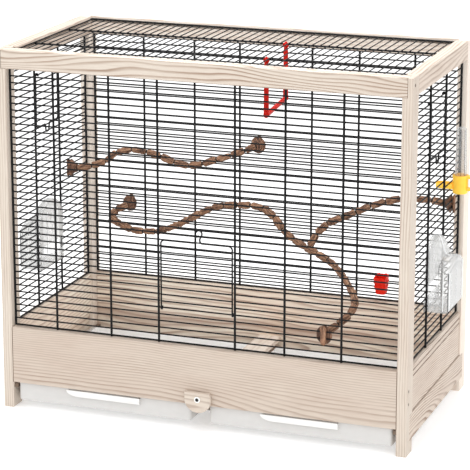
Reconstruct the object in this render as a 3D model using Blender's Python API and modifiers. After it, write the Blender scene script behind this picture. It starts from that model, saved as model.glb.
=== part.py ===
"""Wooden bird cage: a pine frame with five wire grilles, two slide-out trays and its fittings.

Metres, +Z up. X runs along the front from left to right, and Y runs from the front to the back.
The origin lies on the floor, midway between the outermost points of the cage on each axis.
"""

import math

import bmesh
import bpy
from mathutils import Matrix, Quaternion, Vector

# Whole cage
WIDTH = 0.810
DEPTH = 0.425
HEIGHT = 0.706
GAP = 0.0003
OVERRUN = 0.002
WELD = 0.00003
WOOD_EDGE = 0.0008

# Posts and top rails
POST_WIDTH = 0.020
POST_DEPTH = 0.038
RAIL_HEIGHT = 0.036
RAIL_THICK = 0.024
RAIL_LAP = 0.010
ROOF_DROP = 0.007
ROOF_GROOVE_DEPTH = 0.0045

# Panels and side boards
PANEL_THICK = 0.018
PANEL_TOP = 0.164
PANEL_BOTTOM = 0.052
REAR_PANEL_BOTTOM = 0.025
BOARD_SPLIT = 0.075
BOARD_BOTTOM = 0.025
UPPER_BOARD_THICK = 0.012
UPPER_BOARD_RECESS = 0.003
LOWER_BOARD_THICK = 0.010
LOWER_BOARD_LAP = 0.018
BEAD_GROOVE_HEIGHT = 0.0022
BEAD_GROOVE_DEPTH = 0.0015
BEAD_GROOVE_DROP = 0.010
BEAD_GROOVE_PITCH = 0.0105
BEAD_GROOVES = 2

# Wires
THIN_RADIUS = 0.0010
THICK_RADIUS = 0.00165
DOOR_RADIUS = 0.00125
THICK_SIDES = 6
THIN_SIDES = 4
SQUARE_SHARE = math.sqrt(math.pi) / 2
ROW_PITCH = 0.0132
FRONT_INSET = 0.012
SIDE_INSET = 0.008
ROOF_PITCH = 0.016
FRONT_BAR_SHARES = (0.137, 0.276, 0.396, 0.584, 0.704, 0.840)
SIDE_BAR_SHARES = (0.353, 0.614)
ROOF_BAR_SHARES = (0.301, 0.673)

# Doors, in rows of wire: the front one counted up from the panel, the side ones down from the roof
FRONT_DOOR_BARS = (2, 3)
FRONT_DOOR_ROWS = (4, 14)
SIDE_DOOR_ROWS_DOWN = (11, 3)
DOOR_SIDE_PLAY = 0.0052
DOOR_CORNER = 0.008
DOOR_CORNER_STEPS = 4
HOOK_STEPS = 7
HOOK_SWEEP = math.radians(215)
CURL_RADIUS = 0.0075
CURL_RISE = 0.021
CURL_START = math.radians(200)
CURL_SWEEP = math.radians(250)
CURL_STEPS = 9
DIP_WIDTH = 0.018
DIP_DEPTH = 0.016
DIP_FLOOR_SHARE = 2 / 3

# Runners that carry the trays
LEDGE_TOP = 0.048
LEDGE_HEIGHT = 0.008
SIDE_RUNNER_WIDTH = 0.0072
RUNNER_FRONT_INSET = 0.006
RUNNER_LEDGE_WIDTH = 0.034
RUNNER_LEDGE_INSET = 0.055
RUNNER_WEB_WIDTH = 0.016
RUNNER_CAP_WIDTH = 0.046
RUNNER_CAP_HEIGHT = 0.008
RUNNER_CAP_BOTTOM = 0.057

# Trays
TRAY_BOTTOM = 0.015
TRAY_TOP = 0.051
TRAY_SPACING = 0.037
TRAY_PLAY = 0.001
TRAY_WALL = 0.002
TRAY_FLANGE = 0.0065
TRAY_FLANGE_THICK = 0.0024
TRAY_FRONT_INSET = 0.007
TRAY_BACK_INSET = 0.040
GRIP_LENGTH = 0.152
GRIP_PROUD = 0.0070
GRIP_TOP_DROP = 0.002
GRIP_HEIGHT = 0.009
GRIP_CORNER = 0.006
GRIP_CORNER_STEPS = 4
GRIP_WALL = 0.002

# Turn button, its washer and screw
BUTTON_RADIUS = 0.0265
BUTTON_FLAT = 0.0135
BUTTON_THICK = 0.008
BUTTON_STEPS = 40
BUTTON_EDGE = 0.001
BUTTON_EDGE_ANGLE = math.radians(60)
BUTTON_RELIEF = 0.0006
WASHER_RADIUS = 0.006
WASHER_THICK = 0.0012
WASHER_SIDES = 20

# Screws
SCREW_SHANK_RADIUS = 0.0016
SCREW_HEAD_RADIUS = 0.0032
SCREW_HEAD_THICK = 0.0016
SCREW_STEPS = 8
SCREW_SINK = 0.0006
FRAME_SCREW_LENGTH = 0.034
RAIL_SCREW_INSET = 0.014
RAIL_SCREW_DROP = 0.015
PANEL_SCREW_INSET = 0.011
PANEL_SCREW_DROPS = (0.040, 0.065)
BUTTON_SCREW_LENGTH = 0.024

# Perches
PERCH_RADIUS = 0.0065
PERCH_WAIST = 0.80
PERCH_SHOULDER = 0.14
PERCH_SEGMENT = 0.031
PERCH_SAMPLES = 24
PERCH_LEAD = 0.005
KNOB_RADIUS = 0.0125
KNOB_NECK_RADIUS = 0.0080
KNOB_DEPTH = 0.012
KNOB_SIDES = 14
CLAMP_WIDTH = 0.009
CLAMP_HEIGHT = 0.026
CLAMP_THICK = 0.0055
STUD_RADIUS = 0.0022
STUD_BITE = 0.006
UPPER_LEFT_ROW_SHARE = 0.46
UPPER_REAR_ROW_SHARE = 0.57
LOWER_REAR_ROW_SHARE = 0.27
LOWER_RIGHT_ROW_SHARE = 0.43
LOWER_FRONT_ROW_SHARE = 0.055
UPPER_LEFT_SHARE = 0.715
UPPER_REAR_SHARE = 0.467
LOWER_REAR_SHARE = 0.121
LOWER_RIGHT_SHARE = 0.788
LOWER_FRONT_SHARE = 0.797
UPPER_ROUTE_SHARES = (
    (0.066, 0.745, 0.5862),
    (0.092, 0.775, 0.5942),
    (0.116, 0.800, 0.6212),
    (0.158, 0.822, 0.6322),
    (0.196, 0.838, 0.6272),
    (0.232, 0.853, 0.6132),
    (0.271, 0.866, 0.5962),
    (0.307, 0.876, 0.5902),
    (0.345, 0.882, 0.6032),
    (0.385, 0.892, 0.6192),
    (0.430, 0.903, 0.6392),
)
LOWER_ROUTE_SHARES = (
    (0.100, 0.910, 0.4372),
    (0.076, 0.886, 0.4242),
    (0.098, 0.860, 0.4112),
    (0.143, 0.828, 0.3952),
    (0.208, 0.797, 0.3972),
    (0.258, 0.772, 0.4142),
    (0.315, 0.744, 0.4472),
    (0.373, 0.720, 0.4882),
    (0.430, 0.699, 0.5142),
    (0.486, 0.678, 0.5222),
    (0.533, 0.656, 0.5252),
    (0.564, 0.635, 0.5092),
    (0.590, 0.612, 0.4792),
    (0.618, 0.592, 0.4572),
    (0.668, 0.560, 0.4342),
    (0.720, 0.515, 0.4222),
    (0.768, 0.440, 0.4002),
    (0.808, 0.350, 0.3742),
    (0.836, 0.255, 0.3542),
    (0.836, 0.180, 0.3382),
    (0.812, 0.110, 0.3132),
)
JUNCTION_POINT = 14
FORK_ROUTE_SHARES = (
    (0.677, 0.570, 0.4582),
    (0.704, 0.586, 0.5032),
    (0.753, 0.612, 0.5292),
    (0.820, 0.659, 0.5632),
    (0.880, 0.700, 0.5792),
    (0.935, 0.748, 0.5732),
)
FORK_START = 0.0105

# Swing
SWING_GAP_SHARE = 0.607
SWING_SKEW = 1
SWING_RING_INNER = 0.004
SWING_RING_WIRE = 0.00125
SWING_RING_STEPS = 14
SWING_DROP = 0.114
SWING_ARM_WIDTH = 0.0095
SWING_ARM_THICK = 0.003
SWING_ARM_BITE = 0.0012
SWING_BAR_RADIUS = 0.005
SWING_BAR_SIDES = 12

# Treat clip
CLIP_TOP_WIDTH = 0.025
CLIP_BOTTOM_WIDTH = 0.019
CLIP_TOP_DEPTH = 0.030
CLIP_BOTTOM_DEPTH = 0.021
CLIP_HEIGHT = 0.040
CLIP_WALL = 0.002
CLIP_SHARE = 0.794
CLIP_ROW = 0
CLIP_RISE = 0.0035
CLIP_RIB_HEIGHT = 0.003
CLIP_RIB_PROUD = 0.0012
CLIP_RIB_SHARES = (0.35, 0.62)

# Feeders, counted in rows of wire
FEEDER_ROWS = (4, 15)
FEEDER_REACH = 0.0335
FEEDER_INNER_REACH = 0.003
FEEDER_WALL = 0.002
FEEDER_LIP = 0.024
FEEDER_INNER_SPRING = 0.100
FEEDER_INNER_RISE = 0.034
FEEDER_OUTER_SPRING = 0.094
FEEDER_OUTER_RISE = 0.012
FEEDER_ARCH_STEPS = 10
FEEDER_FLANGE_WIDTH = 0.0045
FEEDER_FLANGE_BITE = 0.0012
FEEDER_FLANGE_THICK = 0.002
FEEDER_FLANGE_HEIGHT = 0.090
FEEDER_FLANGE_RISE = 0.006

# Drinker
DRINKER_SHARE = 0.753
DRINKER_ROW_SHARE = 0.51
DRINKER_CUP_RADIUS = 0.014
DRINKER_CUP_INNER = 0.012
DRINKER_CUP_DROP = 0.008
DRINKER_CUP_HEIGHT = 0.036
DRINKER_FLOOR = 0.003
DRINKER_SIDES = 20
DRINKER_CLEAR = 0.0023
TROUGH_REACH = 0.032
TROUGH_WIDTH = 0.022
TROUGH_WALL = 0.0018
TAB_REACH = 0.011
TAB_WIDTH = 0.016
TAB_HEIGHT = 0.026
TAB_WALL = 0.002
TAB_RIM = 0.004
TUBE_RADIUS = 0.0113
TUBE_TOP_RADIUS = 0.0095
TUBE_WALL = 0.0012
TUBE_LENGTH = 0.110
TUBE_DOME = 0.004
TUBE_DOME_FLAT_SHARE = 2 / 3
TUBE_LIFT = 0.016

# Places that follow from the sizes
HALF = WIDTH / 2
BUTTON_PROUD = GAP + BUTTON_THICK + GAP + WASHER_THICK + GAP + SCREW_HEAD_THICK
FRONT = (BUTTON_PROUD - DEPTH) / 2
REAR = FRONT + DEPTH
RAIL_BOTTOM = HEIGHT - RAIL_HEIGHT
INNER_HALF = HALF - POST_WIDTH
POST_FRONT = FRONT + POST_DEPTH
POST_REAR = REAR - POST_DEPTH
ROOF_Z = HEIGHT - ROOF_DROP
ROW_BEHIND = THICK_RADIUS + GAP + THIN_RADIUS
ROOF_BAR_Z = ROOF_Z - ROW_BEHIND
ROOF_GROOVE_LOW = ROOF_BAR_Z - THICK_RADIUS - GAP
ROOF_GROOVE_HIGH = ROOF_Z + THICK_RADIUS + GAP
FIRST_ROW = PANEL_TOP + GAP + THICK_RADIUS + ROW_PITCH
ROWS = round((RAIL_BOTTOM - GAP - THICK_RADIUS - FIRST_ROW) / ROW_PITCH)
SIDE_DOOR_ROWS = tuple(ROWS - down for down in SIDE_DOOR_ROWS_DOWN)
FRONT_GRILLE_Y = FRONT + FRONT_INSET
REAR_GRILLE_Y = REAR - FRONT_INSET
SIDE_GRILLE_X = HALF - SIDE_INSET
HOOK_RADIUS = ROW_BEHIND
BUTTON_Z = PANEL_BOTTOM + BUTTON_FLAT - GAP
RELIEF_RADIUS = BUTTON_RADIUS + BUTTON_RELIEF
CENTRE_FLANGE_X = TRAY_SPACING / 2 - TRAY_FLANGE
CENTRE_FLANGE_TOP = BUTTON_Z - math.sqrt(RELIEF_RADIUS**2 - CENTRE_FLANGE_X**2) - GAP
CENTRE_LEDGE_TOP = CENTRE_FLANGE_TOP - TRAY_FLANGE_THICK - GAP
SCREW_HOLE_RADIUS = SCREW_SHANK_RADIUS + GAP
SCREW_SINK_RADIUS = SCREW_HEAD_RADIUS + GAP

LEFT, RIGHT = -1, 1


def row_z(row):
    """Height of a horizontal wire, counted up from the one above the front panel."""
    return FIRST_ROW + row * ROW_PITCH


def width_at(share):
    return -HALF + share * WIDTH


def depth_at(share):
    return FRONT + share * DEPTH


# Scene, collections and materials

for old in list(bpy.data.objects):
    bpy.data.objects.remove(old, do_unlink=True)

cage = bpy.data.collections.new("wooden_bird_cage")
helpers = bpy.data.collections.new("cutters")
bpy.context.scene.collection.children.link(cage)
bpy.context.scene.collection.children.link(helpers)
helpers.hide_render = True


def make_material(name, colour, roughness, metallic=0.0, alpha=1.0):
    material = bpy.data.materials.new(name)
    material.use_nodes = True
    shader = material.node_tree.nodes["Principled BSDF"]
    shader.inputs["Base Color"].default_value = (*colour, 1.0)
    shader.inputs["Roughness"].default_value = roughness
    shader.inputs["Metallic"].default_value = metallic
    shader.inputs["Alpha"].default_value = alpha
    return material


MATERIALS = {
    "pine": make_material("whitewashed_pine", (0.76, 0.66, 0.54), 0.70),
    "pine_inside": make_material("plain_pine", (0.66, 0.52, 0.39), 0.70),
    "wire": make_material("black_wire", (0.02, 0.02, 0.02), 0.40, 0.3),
    "steel": make_material("screw_steel", (0.45, 0.43, 0.40), 0.35, 1.0),
    "tray": make_material("white_tray", (0.80, 0.82, 0.81), 0.45),
    "washer": make_material("white_washer", (0.85, 0.85, 0.83), 0.45),
    "bark": make_material("bark", (0.22, 0.11, 0.06), 0.85),
    "red": make_material("red_plastic", (0.70, 0.03, 0.02), 0.35),
    "yellow": make_material("yellow_plastic", (0.90, 0.50, 0.05), 0.35),
    "clear": make_material("clear_plastic", (0.90, 0.92, 0.93), 0.10, 0.0, 0.35),
}


# Modelling helpers


def add_object(name, data, material, helper=False):
    made = bpy.data.objects.new(name, data)
    (helpers if helper else cage).objects.link(made)
    if helper:
        made.hide_render = True
        made.display_type = "WIRE"
    if material:
        data.materials.append(MATERIALS[material])
    return made


def finish_mesh(name, shape, material, helper=False):
    """Turns a bmesh into an object, with its faces pointing out."""
    bmesh.ops.recalc_face_normals(shape, faces=shape.faces)
    mesh = bpy.data.meshes.new(name)
    shape.to_mesh(mesh)
    shape.free()
    return add_object(name, mesh, material, helper)


def put_box(shape, low, high):
    """Adds a box between two corners to a bmesh."""
    low, high = Vector(low), Vector(high)
    size = Matrix.Diagonal((*(high - low), 1))
    bmesh.ops.create_cube(shape, size=1, matrix=Matrix.Translation((low + high) / 2) @ size)


def put_cone(shape, start, end, start_radius, end_radius, sides):
    """Adds a cylinder or a cut cone between two points to a bmesh."""
    start, end = Vector(start), Vector(end)
    axis = end - start
    turn = axis.to_track_quat("Z", "Y").to_matrix().to_4x4()
    bmesh.ops.create_cone(
        shape,
        cap_ends=True,
        segments=sides,
        radius1=start_radius,
        radius2=end_radius,
        depth=axis.length,
        matrix=Matrix.Translation((start + end) / 2) @ turn,
    )


def box(name, low, high, material, helper=False, edge=0):
    shape = bmesh.new()
    put_box(shape, low, high)
    made = finish_mesh(name, shape, material, helper)
    if edge:
        rounding = made.modifiers.new("edges", "BEVEL")
        rounding.width = edge
        rounding.segments = 1
    return made


def rod(name, start, end, radius, sides, helper=True, material=None):
    shape = bmesh.new()
    put_cone(shape, start, end, radius, radius, sides)
    return finish_mesh(name, shape, material, helper)


def combine(target, other, operation):
    change = target.modifiers.new(other.name, "BOOLEAN")
    change.operation = operation
    change.solver = "EXACT"
    change.object = other


def cut(target, *cutters):
    for cutter in cutters:
        combine(target, cutter, "DIFFERENCE")


def fuse(target, *additions):
    for addition in additions:
        combine(target, addition, "UNION")


def bent_wire(name, points, radius, shares=None, cyclic=False, resolution=1):
    """A wire along a row of points as a closed mesh, with a share of the radius at each point."""
    curve = bpy.data.curves.new(name, "CURVE")
    curve.dimensions = "3D"
    curve.bevel_depth = radius
    curve.bevel_resolution = resolution
    curve.use_fill_caps = not cyclic
    spline = curve.splines.new("POLY")
    spline.points.add(len(points) - 1)
    spline.use_cyclic_u = cyclic
    for target, place, share in zip(spline.points, points, shares or [1] * len(points)):
        target.co = (*place, 1)
        target.radius = share
    return mesh_of_curve(name, curve)


def mesh_of_curve(name, curve):
    """The mesh that a curve makes, with its caps welded on."""
    source = add_object(name, curve, None, True)
    graph = bpy.context.evaluated_depsgraph_get()
    mesh = bpy.data.meshes.new_from_object(source.evaluated_get(graph))
    bpy.data.objects.remove(source)
    bpy.data.curves.remove(curve)
    shape = bmesh.new()
    shape.from_mesh(mesh)
    bpy.data.meshes.remove(mesh)
    bmesh.ops.remove_doubles(shape, verts=shape.verts, dist=WELD)
    return shape


def put_wire(shape, start, end, radius, sides, flat):
    """Adds a straight wire whose flats lie at its radius, one of them facing the way flat points."""
    start, end = Vector(start), Vector(end)
    axis = (end - start).normalized()
    corner = Quaternion(axis, math.pi / sides) @ Vector(flat)
    turn = Matrix((corner.cross(axis), corner, axis)).transposed().to_4x4()
    reach = radius / math.cos(math.pi / sides)
    bmesh.ops.create_cone(
        shape,
        cap_ends=True,
        segments=sides,
        radius1=reach,
        radius2=reach,
        depth=(end - start).length,
        matrix=Matrix.Translation((start + end) / 2) @ turn,
    )


def turned(name, profile, steps, material):
    """A solid of revolution about its own Z axis, from a profile that runs from the top down."""
    mesh = bpy.data.meshes.new(name)
    edges = [(index, index + 1) for index in range(len(profile) - 1)]
    mesh.from_pydata([(radius, 0, height) for radius, height in profile], edges, [])
    made = add_object(name, mesh, material)
    screw = made.modifiers.new("turn", "SCREW")
    screw.steps = steps
    screw.render_steps = steps
    screw.use_merge_vertices = True
    screw.merge_threshold = WELD
    return made


def screw_profile(length):
    return (
        (0, SCREW_HEAD_THICK),
        (SCREW_HEAD_RADIUS, SCREW_HEAD_THICK),
        (SCREW_HEAD_RADIUS, 0),
        (SCREW_SHANK_RADIUS, 0),
        (SCREW_SHANK_RADIUS, -length),
        (0, -length),
    )


def screw(name, seat, outward, length):
    """A screw whose head stands outward from its seat."""
    made = turned(name, screw_profile(length), SCREW_STEPS, "steel")
    turn = Vector(outward).to_track_quat("Z", "Y").to_matrix().to_4x4()
    made.matrix_world = Matrix.Translation(Vector(seat)) @ turn
    return made


def screw_cutter(name, screws):
    """The holes for screws: a shank hole and a sink for each head."""
    shape = bmesh.new()
    for seat, outward, length in screws:
        seat, outward = Vector(seat), Vector(outward)
        end = seat - outward * (length + GAP)
        start = seat + outward * OVERRUN
        put_cone(shape, start, end, SCREW_HOLE_RADIUS, SCREW_HOLE_RADIUS, SCREW_STEPS)
    made = finish_mesh(name, shape, None, True)
    sinks = bmesh.new()
    for seat, outward, length in screws:
        seat, outward = Vector(seat), Vector(outward)
        start = seat - outward * GAP
        end = seat + outward * (SCREW_HEAD_THICK + OVERRUN)
        put_cone(sinks, start, end, SCREW_SINK_RADIUS, SCREW_SINK_RADIUS, SCREW_STEPS)
    return made, finish_mesh(name + "_sinks", sinks, None, True)


# Screws of the frame, which posts, rails and panels are drilled for


def frame_screws_of(side, end):
    """The screws through one post: into the top rail's end and, at the front, into the panel's."""
    seat_x = side * (HALF - SCREW_SINK - SCREW_HEAD_THICK)
    inset = 1 if end == FRONT else -1
    rail = Vector((seat_x, end + inset * RAIL_SCREW_INSET, HEIGHT - RAIL_SCREW_DROP))
    places = [rail]
    if end == FRONT:
        for drop in PANEL_SCREW_DROPS:
            places.append(Vector((seat_x, end + PANEL_SCREW_INSET, PANEL_TOP - drop)))
    return [(place, (side, 0, 0), FRAME_SCREW_LENGTH) for place in places]


POST_CORNERS = [(side, end) for side in (LEFT, RIGHT) for end in (FRONT, REAR)]
FRAME_SCREWS = [fixing for corner in POST_CORNERS for fixing in frame_screws_of(*corner)]
frame_holes, frame_sinks = screw_cutter("frame_screw_holes", FRAME_SCREWS)


# Posts, rails, panels and boards


def post(name, side, end):
    inward = 1 if end == FRONT else -1
    outer_x, inner_x = side * HALF, side * INNER_HALF
    near, far = sorted((end, end + inward * POST_DEPTH))
    low_x, high_x = sorted((outer_x, inner_x))
    made = box(name, (low_x, near, 0), (high_x, far, HEIGHT), "pine", edge=WOOD_EDGE)
    lap_x = sorted((side * (HALF - RAIL_LAP + GAP), inner_x - side * OVERRUN))
    lap_y = sorted((end - inward * OVERRUN, end + inward * (RAIL_THICK + GAP)))
    lap = box(
        name + "_rail_lap",
        (lap_x[0], lap_y[0], RAIL_BOTTOM - GAP),
        (lap_x[1], lap_y[1], HEIGHT + OVERRUN),
        None,
        True,
    )
    housing_x = sorted((outer_x + side * OVERRUN, side * (HALF - LOWER_BOARD_THICK - GAP)))
    housing_start = end + inward * (POST_DEPTH - LOWER_BOARD_LAP - GAP)
    housing_y = sorted((housing_start, end + inward * (POST_DEPTH + OVERRUN)))
    housing = box(
        name + "_board_housing",
        (housing_x[0], housing_y[0], BOARD_BOTTOM - GAP),
        (housing_x[1], housing_y[1], BOARD_SPLIT + GAP),
        None,
        True,
    )
    cut(made, lap, housing, frame_holes, frame_sinks)
    return made


def groove(name, low, high):
    return box(name, (*low, ROOF_GROOVE_LOW), (*high, ROOF_GROOVE_HIGH), None, True)


def front_or_rear_rail(name, end):
    inward = 1 if end == FRONT else -1
    face_y = sorted((end, end + inward * RAIL_THICK))
    length = HALF - RAIL_LAP
    low, high = (-length, face_y[0], RAIL_BOTTOM), (length, face_y[1], HEIGHT)
    made = box(name, low, high, "pine", edge=WOOD_EDGE)
    inner = end + inward * RAIL_THICK
    groove_y = sorted((inner - inward * ROOF_GROOVE_DEPTH, inner + inward * OVERRUN))
    ends = length + OVERRUN
    slot = groove(name + "_groove", (-ends, groove_y[0]), (ends, groove_y[1]))
    cut(made, slot, frame_holes)
    return made


def side_rail(name, side):
    rail_x = sorted((side * HALF, side * (HALF - RAIL_THICK)))
    made = box(
        name,
        (rail_x[0], POST_FRONT + GAP, RAIL_BOTTOM),
        (rail_x[1], POST_REAR - GAP, HEIGHT),
        "pine",
        edge=WOOD_EDGE,
    )
    inner = side * (HALF - RAIL_THICK)
    groove_x = sorted((inner + side * ROOF_GROOVE_DEPTH, inner - side * OVERRUN))
    slot = groove(name + "_groove", (groove_x[0], POST_FRONT - OVERRUN), (groove_x[1], POST_REAR + OVERRUN))
    cut(made, slot)
    return made


def front_or_rear_panel(name, end, bottom):
    inward = 1 if end == FRONT else -1
    face_y = sorted((end, end + inward * PANEL_THICK))
    length = INNER_HALF - GAP
    low, high = (-length, face_y[0], bottom), (length, face_y[1], PANEL_TOP)
    made = box(name, low, high, "pine", edge=WOOD_EDGE)
    cut(made, frame_holes)
    return made


def upper_side_board(name, side):
    """The board between the posts, with two bead grooves near its top."""
    outer = HALF - UPPER_BOARD_RECESS
    board_x = sorted((side * outer, side * (outer - UPPER_BOARD_THICK)))
    made = box(
        name,
        (board_x[0], POST_FRONT + GAP, BOARD_SPLIT + GAP),
        (board_x[1], POST_REAR - GAP, PANEL_TOP),
        "pine",
    )
    slots = bmesh.new()
    slot_x = sorted((side * (outer - BEAD_GROOVE_DEPTH), side * (outer + OVERRUN)))
    for number in range(BEAD_GROOVES):
        top = PANEL_TOP - BEAD_GROOVE_DROP - number * BEAD_GROOVE_PITCH
        put_box(
            slots,
            (slot_x[0], POST_FRONT - OVERRUN, top - BEAD_GROOVE_HEIGHT),
            (slot_x[1], POST_REAR + OVERRUN, top),
        )
    cut(made, finish_mesh(name + "_bead_grooves", slots, None, True))
    return made


def lower_side_board(name, side):
    """The board that is housed in the outer faces of both posts."""
    board_x = sorted((side * HALF, side * (HALF - LOWER_BOARD_THICK)))
    lap = POST_DEPTH - LOWER_BOARD_LAP
    return box(
        name,
        (board_x[0], FRONT + lap, BOARD_BOTTOM),
        (board_x[1], REAR - lap, BOARD_SPLIT),
        "pine",
        edge=WOOD_EDGE,
    )


# Grilles


def rows_with_openings(openings):
    """Each row's number, with the openings that interrupt it."""
    for row in range(ROWS):
        yield row, [spans for spans, low, high in openings if low < row < high]


def split_run(start, end, spans):
    """The stretches of a row that are left between its openings."""
    edges = [start]
    for low, high in sorted(spans):
        edges += [low, high]
    edges.append(end)
    return list(zip(edges[::2], edges[1::2]))


def wall_grille(name, low, high, bars, openings, to_point):
    """A frame of thick wire whose rows end in its uprights, with thick bars welded across its front.

    to_point turns along, behind and up into X, Y and Z.
    """
    along = to_point(1, 0, 0) - to_point(0, 0, 0)
    inward = to_point(0, 1, 0) - to_point(0, 0, 0)
    bottom, top = PANEL_TOP + GAP, RAIL_BOTTOM - GAP
    low_edge, high_edge = low + THICK_RADIUS, high - THICK_RADIUS
    bottom_edge, top_edge = bottom + THICK_RADIUS, top - THICK_RADIUS
    uprights, crosses, rest = bmesh.new(), bmesh.new(), bmesh.new()
    for edge in (low_edge, high_edge):
        ends = to_point(edge, ROW_BEHIND, bottom_edge), to_point(edge, ROW_BEHIND, top_edge)
        put_wire(uprights, *ends, THICK_RADIUS, THICK_SIDES, along)
    for edge in (bottom_edge, top_edge):
        ends = to_point(low + GAP, ROW_BEHIND, edge), to_point(high - GAP, ROW_BEHIND, edge)
        put_wire(crosses, *ends, THICK_RADIUS, THICK_SIDES, inward)
    for bar in bars:
        ends = to_point(bar, 0, bottom), to_point(bar, 0, top)
        put_wire(rest, *ends, THICK_RADIUS, THICK_SIDES, inward)
    for row, spans in rows_with_openings(openings):
        for start, end in split_run(low_edge, high_edge, spans):
            ends = to_point(start, ROW_BEHIND, row_z(row)), to_point(end, ROW_BEHIND, row_z(row))
            put_wire(rest, *ends, THIN_RADIUS * SQUARE_SHARE, THIN_SIDES, inward)
    made = finish_mesh(name, uprights, "wire")
    fuse(made, finish_mesh(name + "_crosses", crosses, None, True))
    fuse(made, finish_mesh(name + "_rest", rest, None, True))
    return made


def front_bars():
    return [width_at(share) for share in FRONT_BAR_SHARES]


def opening_between(first, second):
    """The span that the rows leave free between two bars: they end at each bar's far side."""
    return first + THICK_RADIUS, second - THICK_RADIUS


def front_door_bars():
    first, second = FRONT_DOOR_BARS
    return width_at(FRONT_BAR_SHARES[first]), width_at(FRONT_BAR_SHARES[second])


def side_door_bars():
    return tuple(depth_at(share) for share in SIDE_BAR_SHARES)


def front_grille():
    def to_point(along, behind, up):
        return Vector((along, FRONT_GRILLE_Y + behind, up))

    length = INNER_HALF - GAP
    openings = [(opening_between(*front_door_bars()), *FRONT_DOOR_ROWS)]
    return wall_grille("grille_front", -length, length, front_bars(), openings, to_point)


def rear_grille():
    """The same grille turned round, with no door in it."""

    def to_point(along, behind, up):
        return Vector((-along, REAR_GRILLE_Y - behind, up))

    length = INNER_HALF - GAP
    return wall_grille("grille_rear", -length, length, front_bars(), [], to_point)


def side_grille(name, side):
    def to_point(along, behind, up):
        return Vector((side * (SIDE_GRILLE_X - behind), along, up))

    span = opening_between(*side_door_bars())
    openings = [(span, *SIDE_DOOR_ROWS), (span, *FEEDER_ROWS)]
    return wall_grille(name, POST_FRONT + GAP, POST_REAR - GAP, side_door_bars(), openings, to_point)


def roof_wire_places():
    """Where the thin roof wires lie, evenly spaced between the two frame wires in the side grooves."""
    edge = INNER_HALF - GAP - THICK_RADIUS
    count = round(2 * edge / ROOF_PITCH)
    return [-edge + 2 * edge * number / count for number in range(count + 1)]


def roof_grille():
    """A frame of thick wire that lies in the rails' grooves, with thin wires across and two bars below."""
    frame, crosses, rest = bmesh.new(), bmesh.new(), bmesh.new()
    reach = INNER_HALF - GAP
    near = FRONT + RAIL_THICK - ROOF_GROOVE_DEPTH + GAP
    far = REAR - RAIL_THICK + ROOF_GROOVE_DEPTH - GAP
    first, last = near + THICK_RADIUS, far - THICK_RADIUS
    places = roof_wire_places()
    for y in (first, last):
        ends = (-reach + THICK_RADIUS, y, ROOF_Z), (reach - THICK_RADIUS, y, ROOF_Z)
        put_wire(frame, *ends, THICK_RADIUS, THICK_SIDES, (0, 1, 0))
    for x in (places[0], places[-1]):
        ends = (x, near + GAP, ROOF_Z), (x, far - GAP, ROOF_Z)
        put_wire(crosses, *ends, THICK_RADIUS, THICK_SIDES, (0, 0, 1))
    for share in ROOF_BAR_SHARES:
        y = depth_at(share)
        ends = (-reach, y, ROOF_BAR_Z), (reach, y, ROOF_BAR_Z)
        put_wire(rest, *ends, THICK_RADIUS, THICK_SIDES, (0, 0, 1))
    for x in places[1:-1]:
        ends = (x, first, ROOF_Z), (x, last, ROOF_Z)
        put_wire(rest, *ends, THIN_RADIUS * SQUARE_SHARE, THIN_SIDES, (0, 0, 1))
    made = finish_mesh("grille_roof", frame, "wire")
    fuse(made, finish_mesh("roof_crosses", crosses, None, True))
    fuse(made, finish_mesh("roof_rest", rest, None, True))
    return made


# Doors of bent wire


def arc(centre, radius, start, sweep, steps):
    """Points of an arc in a plane, each as (along, up)."""
    points = []
    for number in range(steps + 1):
        angle = start + sweep * number / steps
        points.append((centre[0] + radius * math.cos(angle), centre[1] + radius * math.sin(angle)))
    return points


def hook(leg, direction):
    """The end of a leg, bent round a row of wire. Each point is (along, out, up) from the row's axis.

    The leg arrives in front of the wire, passes it on the side away from the door and ends behind it.
    direction is 1 where the door stands above its hinge and -1 where it hangs below.
    """
    points = []
    for number in range(HOOK_STEPS + 1):
        angle = HOOK_SWEEP * number / HOOK_STEPS
        points.append((leg, HOOK_RADIUS * math.cos(angle), -direction * HOOK_RADIUS * math.sin(angle)))
    return points


def door_outline(half_span, height, feature):
    """The frame of a door from one leg's foot over its far bar to the other's, as (along, up)."""
    corner = height - DOOR_CORNER
    left = arc((-half_span + DOOR_CORNER, corner), DOOR_CORNER, math.pi, -math.pi / 2, DOOR_CORNER_STEPS)
    right = arc((half_span - DOOR_CORNER, corner), DOOR_CORNER, math.pi / 2, -math.pi / 2, DOOR_CORNER_STEPS)
    return [*left, *feature, *right]


def curl_feature(height):
    """The finger curl of the front door: the bar rises, turns back on itself and comes down again."""
    top = (0, height + CURL_RISE - CURL_RADIUS)
    turn = arc(top, CURL_RADIUS, CURL_START, -CURL_SWEEP, CURL_STEPS)
    rise = (-CURL_RADIUS - DOOR_RADIUS, height)
    fall = (turn[-1][0] + DOOR_RADIUS, height)
    return [rise, *turn, fall]


def dip_feature(height):
    """The finger dip of a side door: a U bent into its far bar."""
    half = DIP_WIDTH / 2
    floor = half * DIP_FLOOR_SHARE
    reach = height + DIP_DEPTH
    return [(-half, height), (-floor, reach), (floor, reach), (half, height)]


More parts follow.
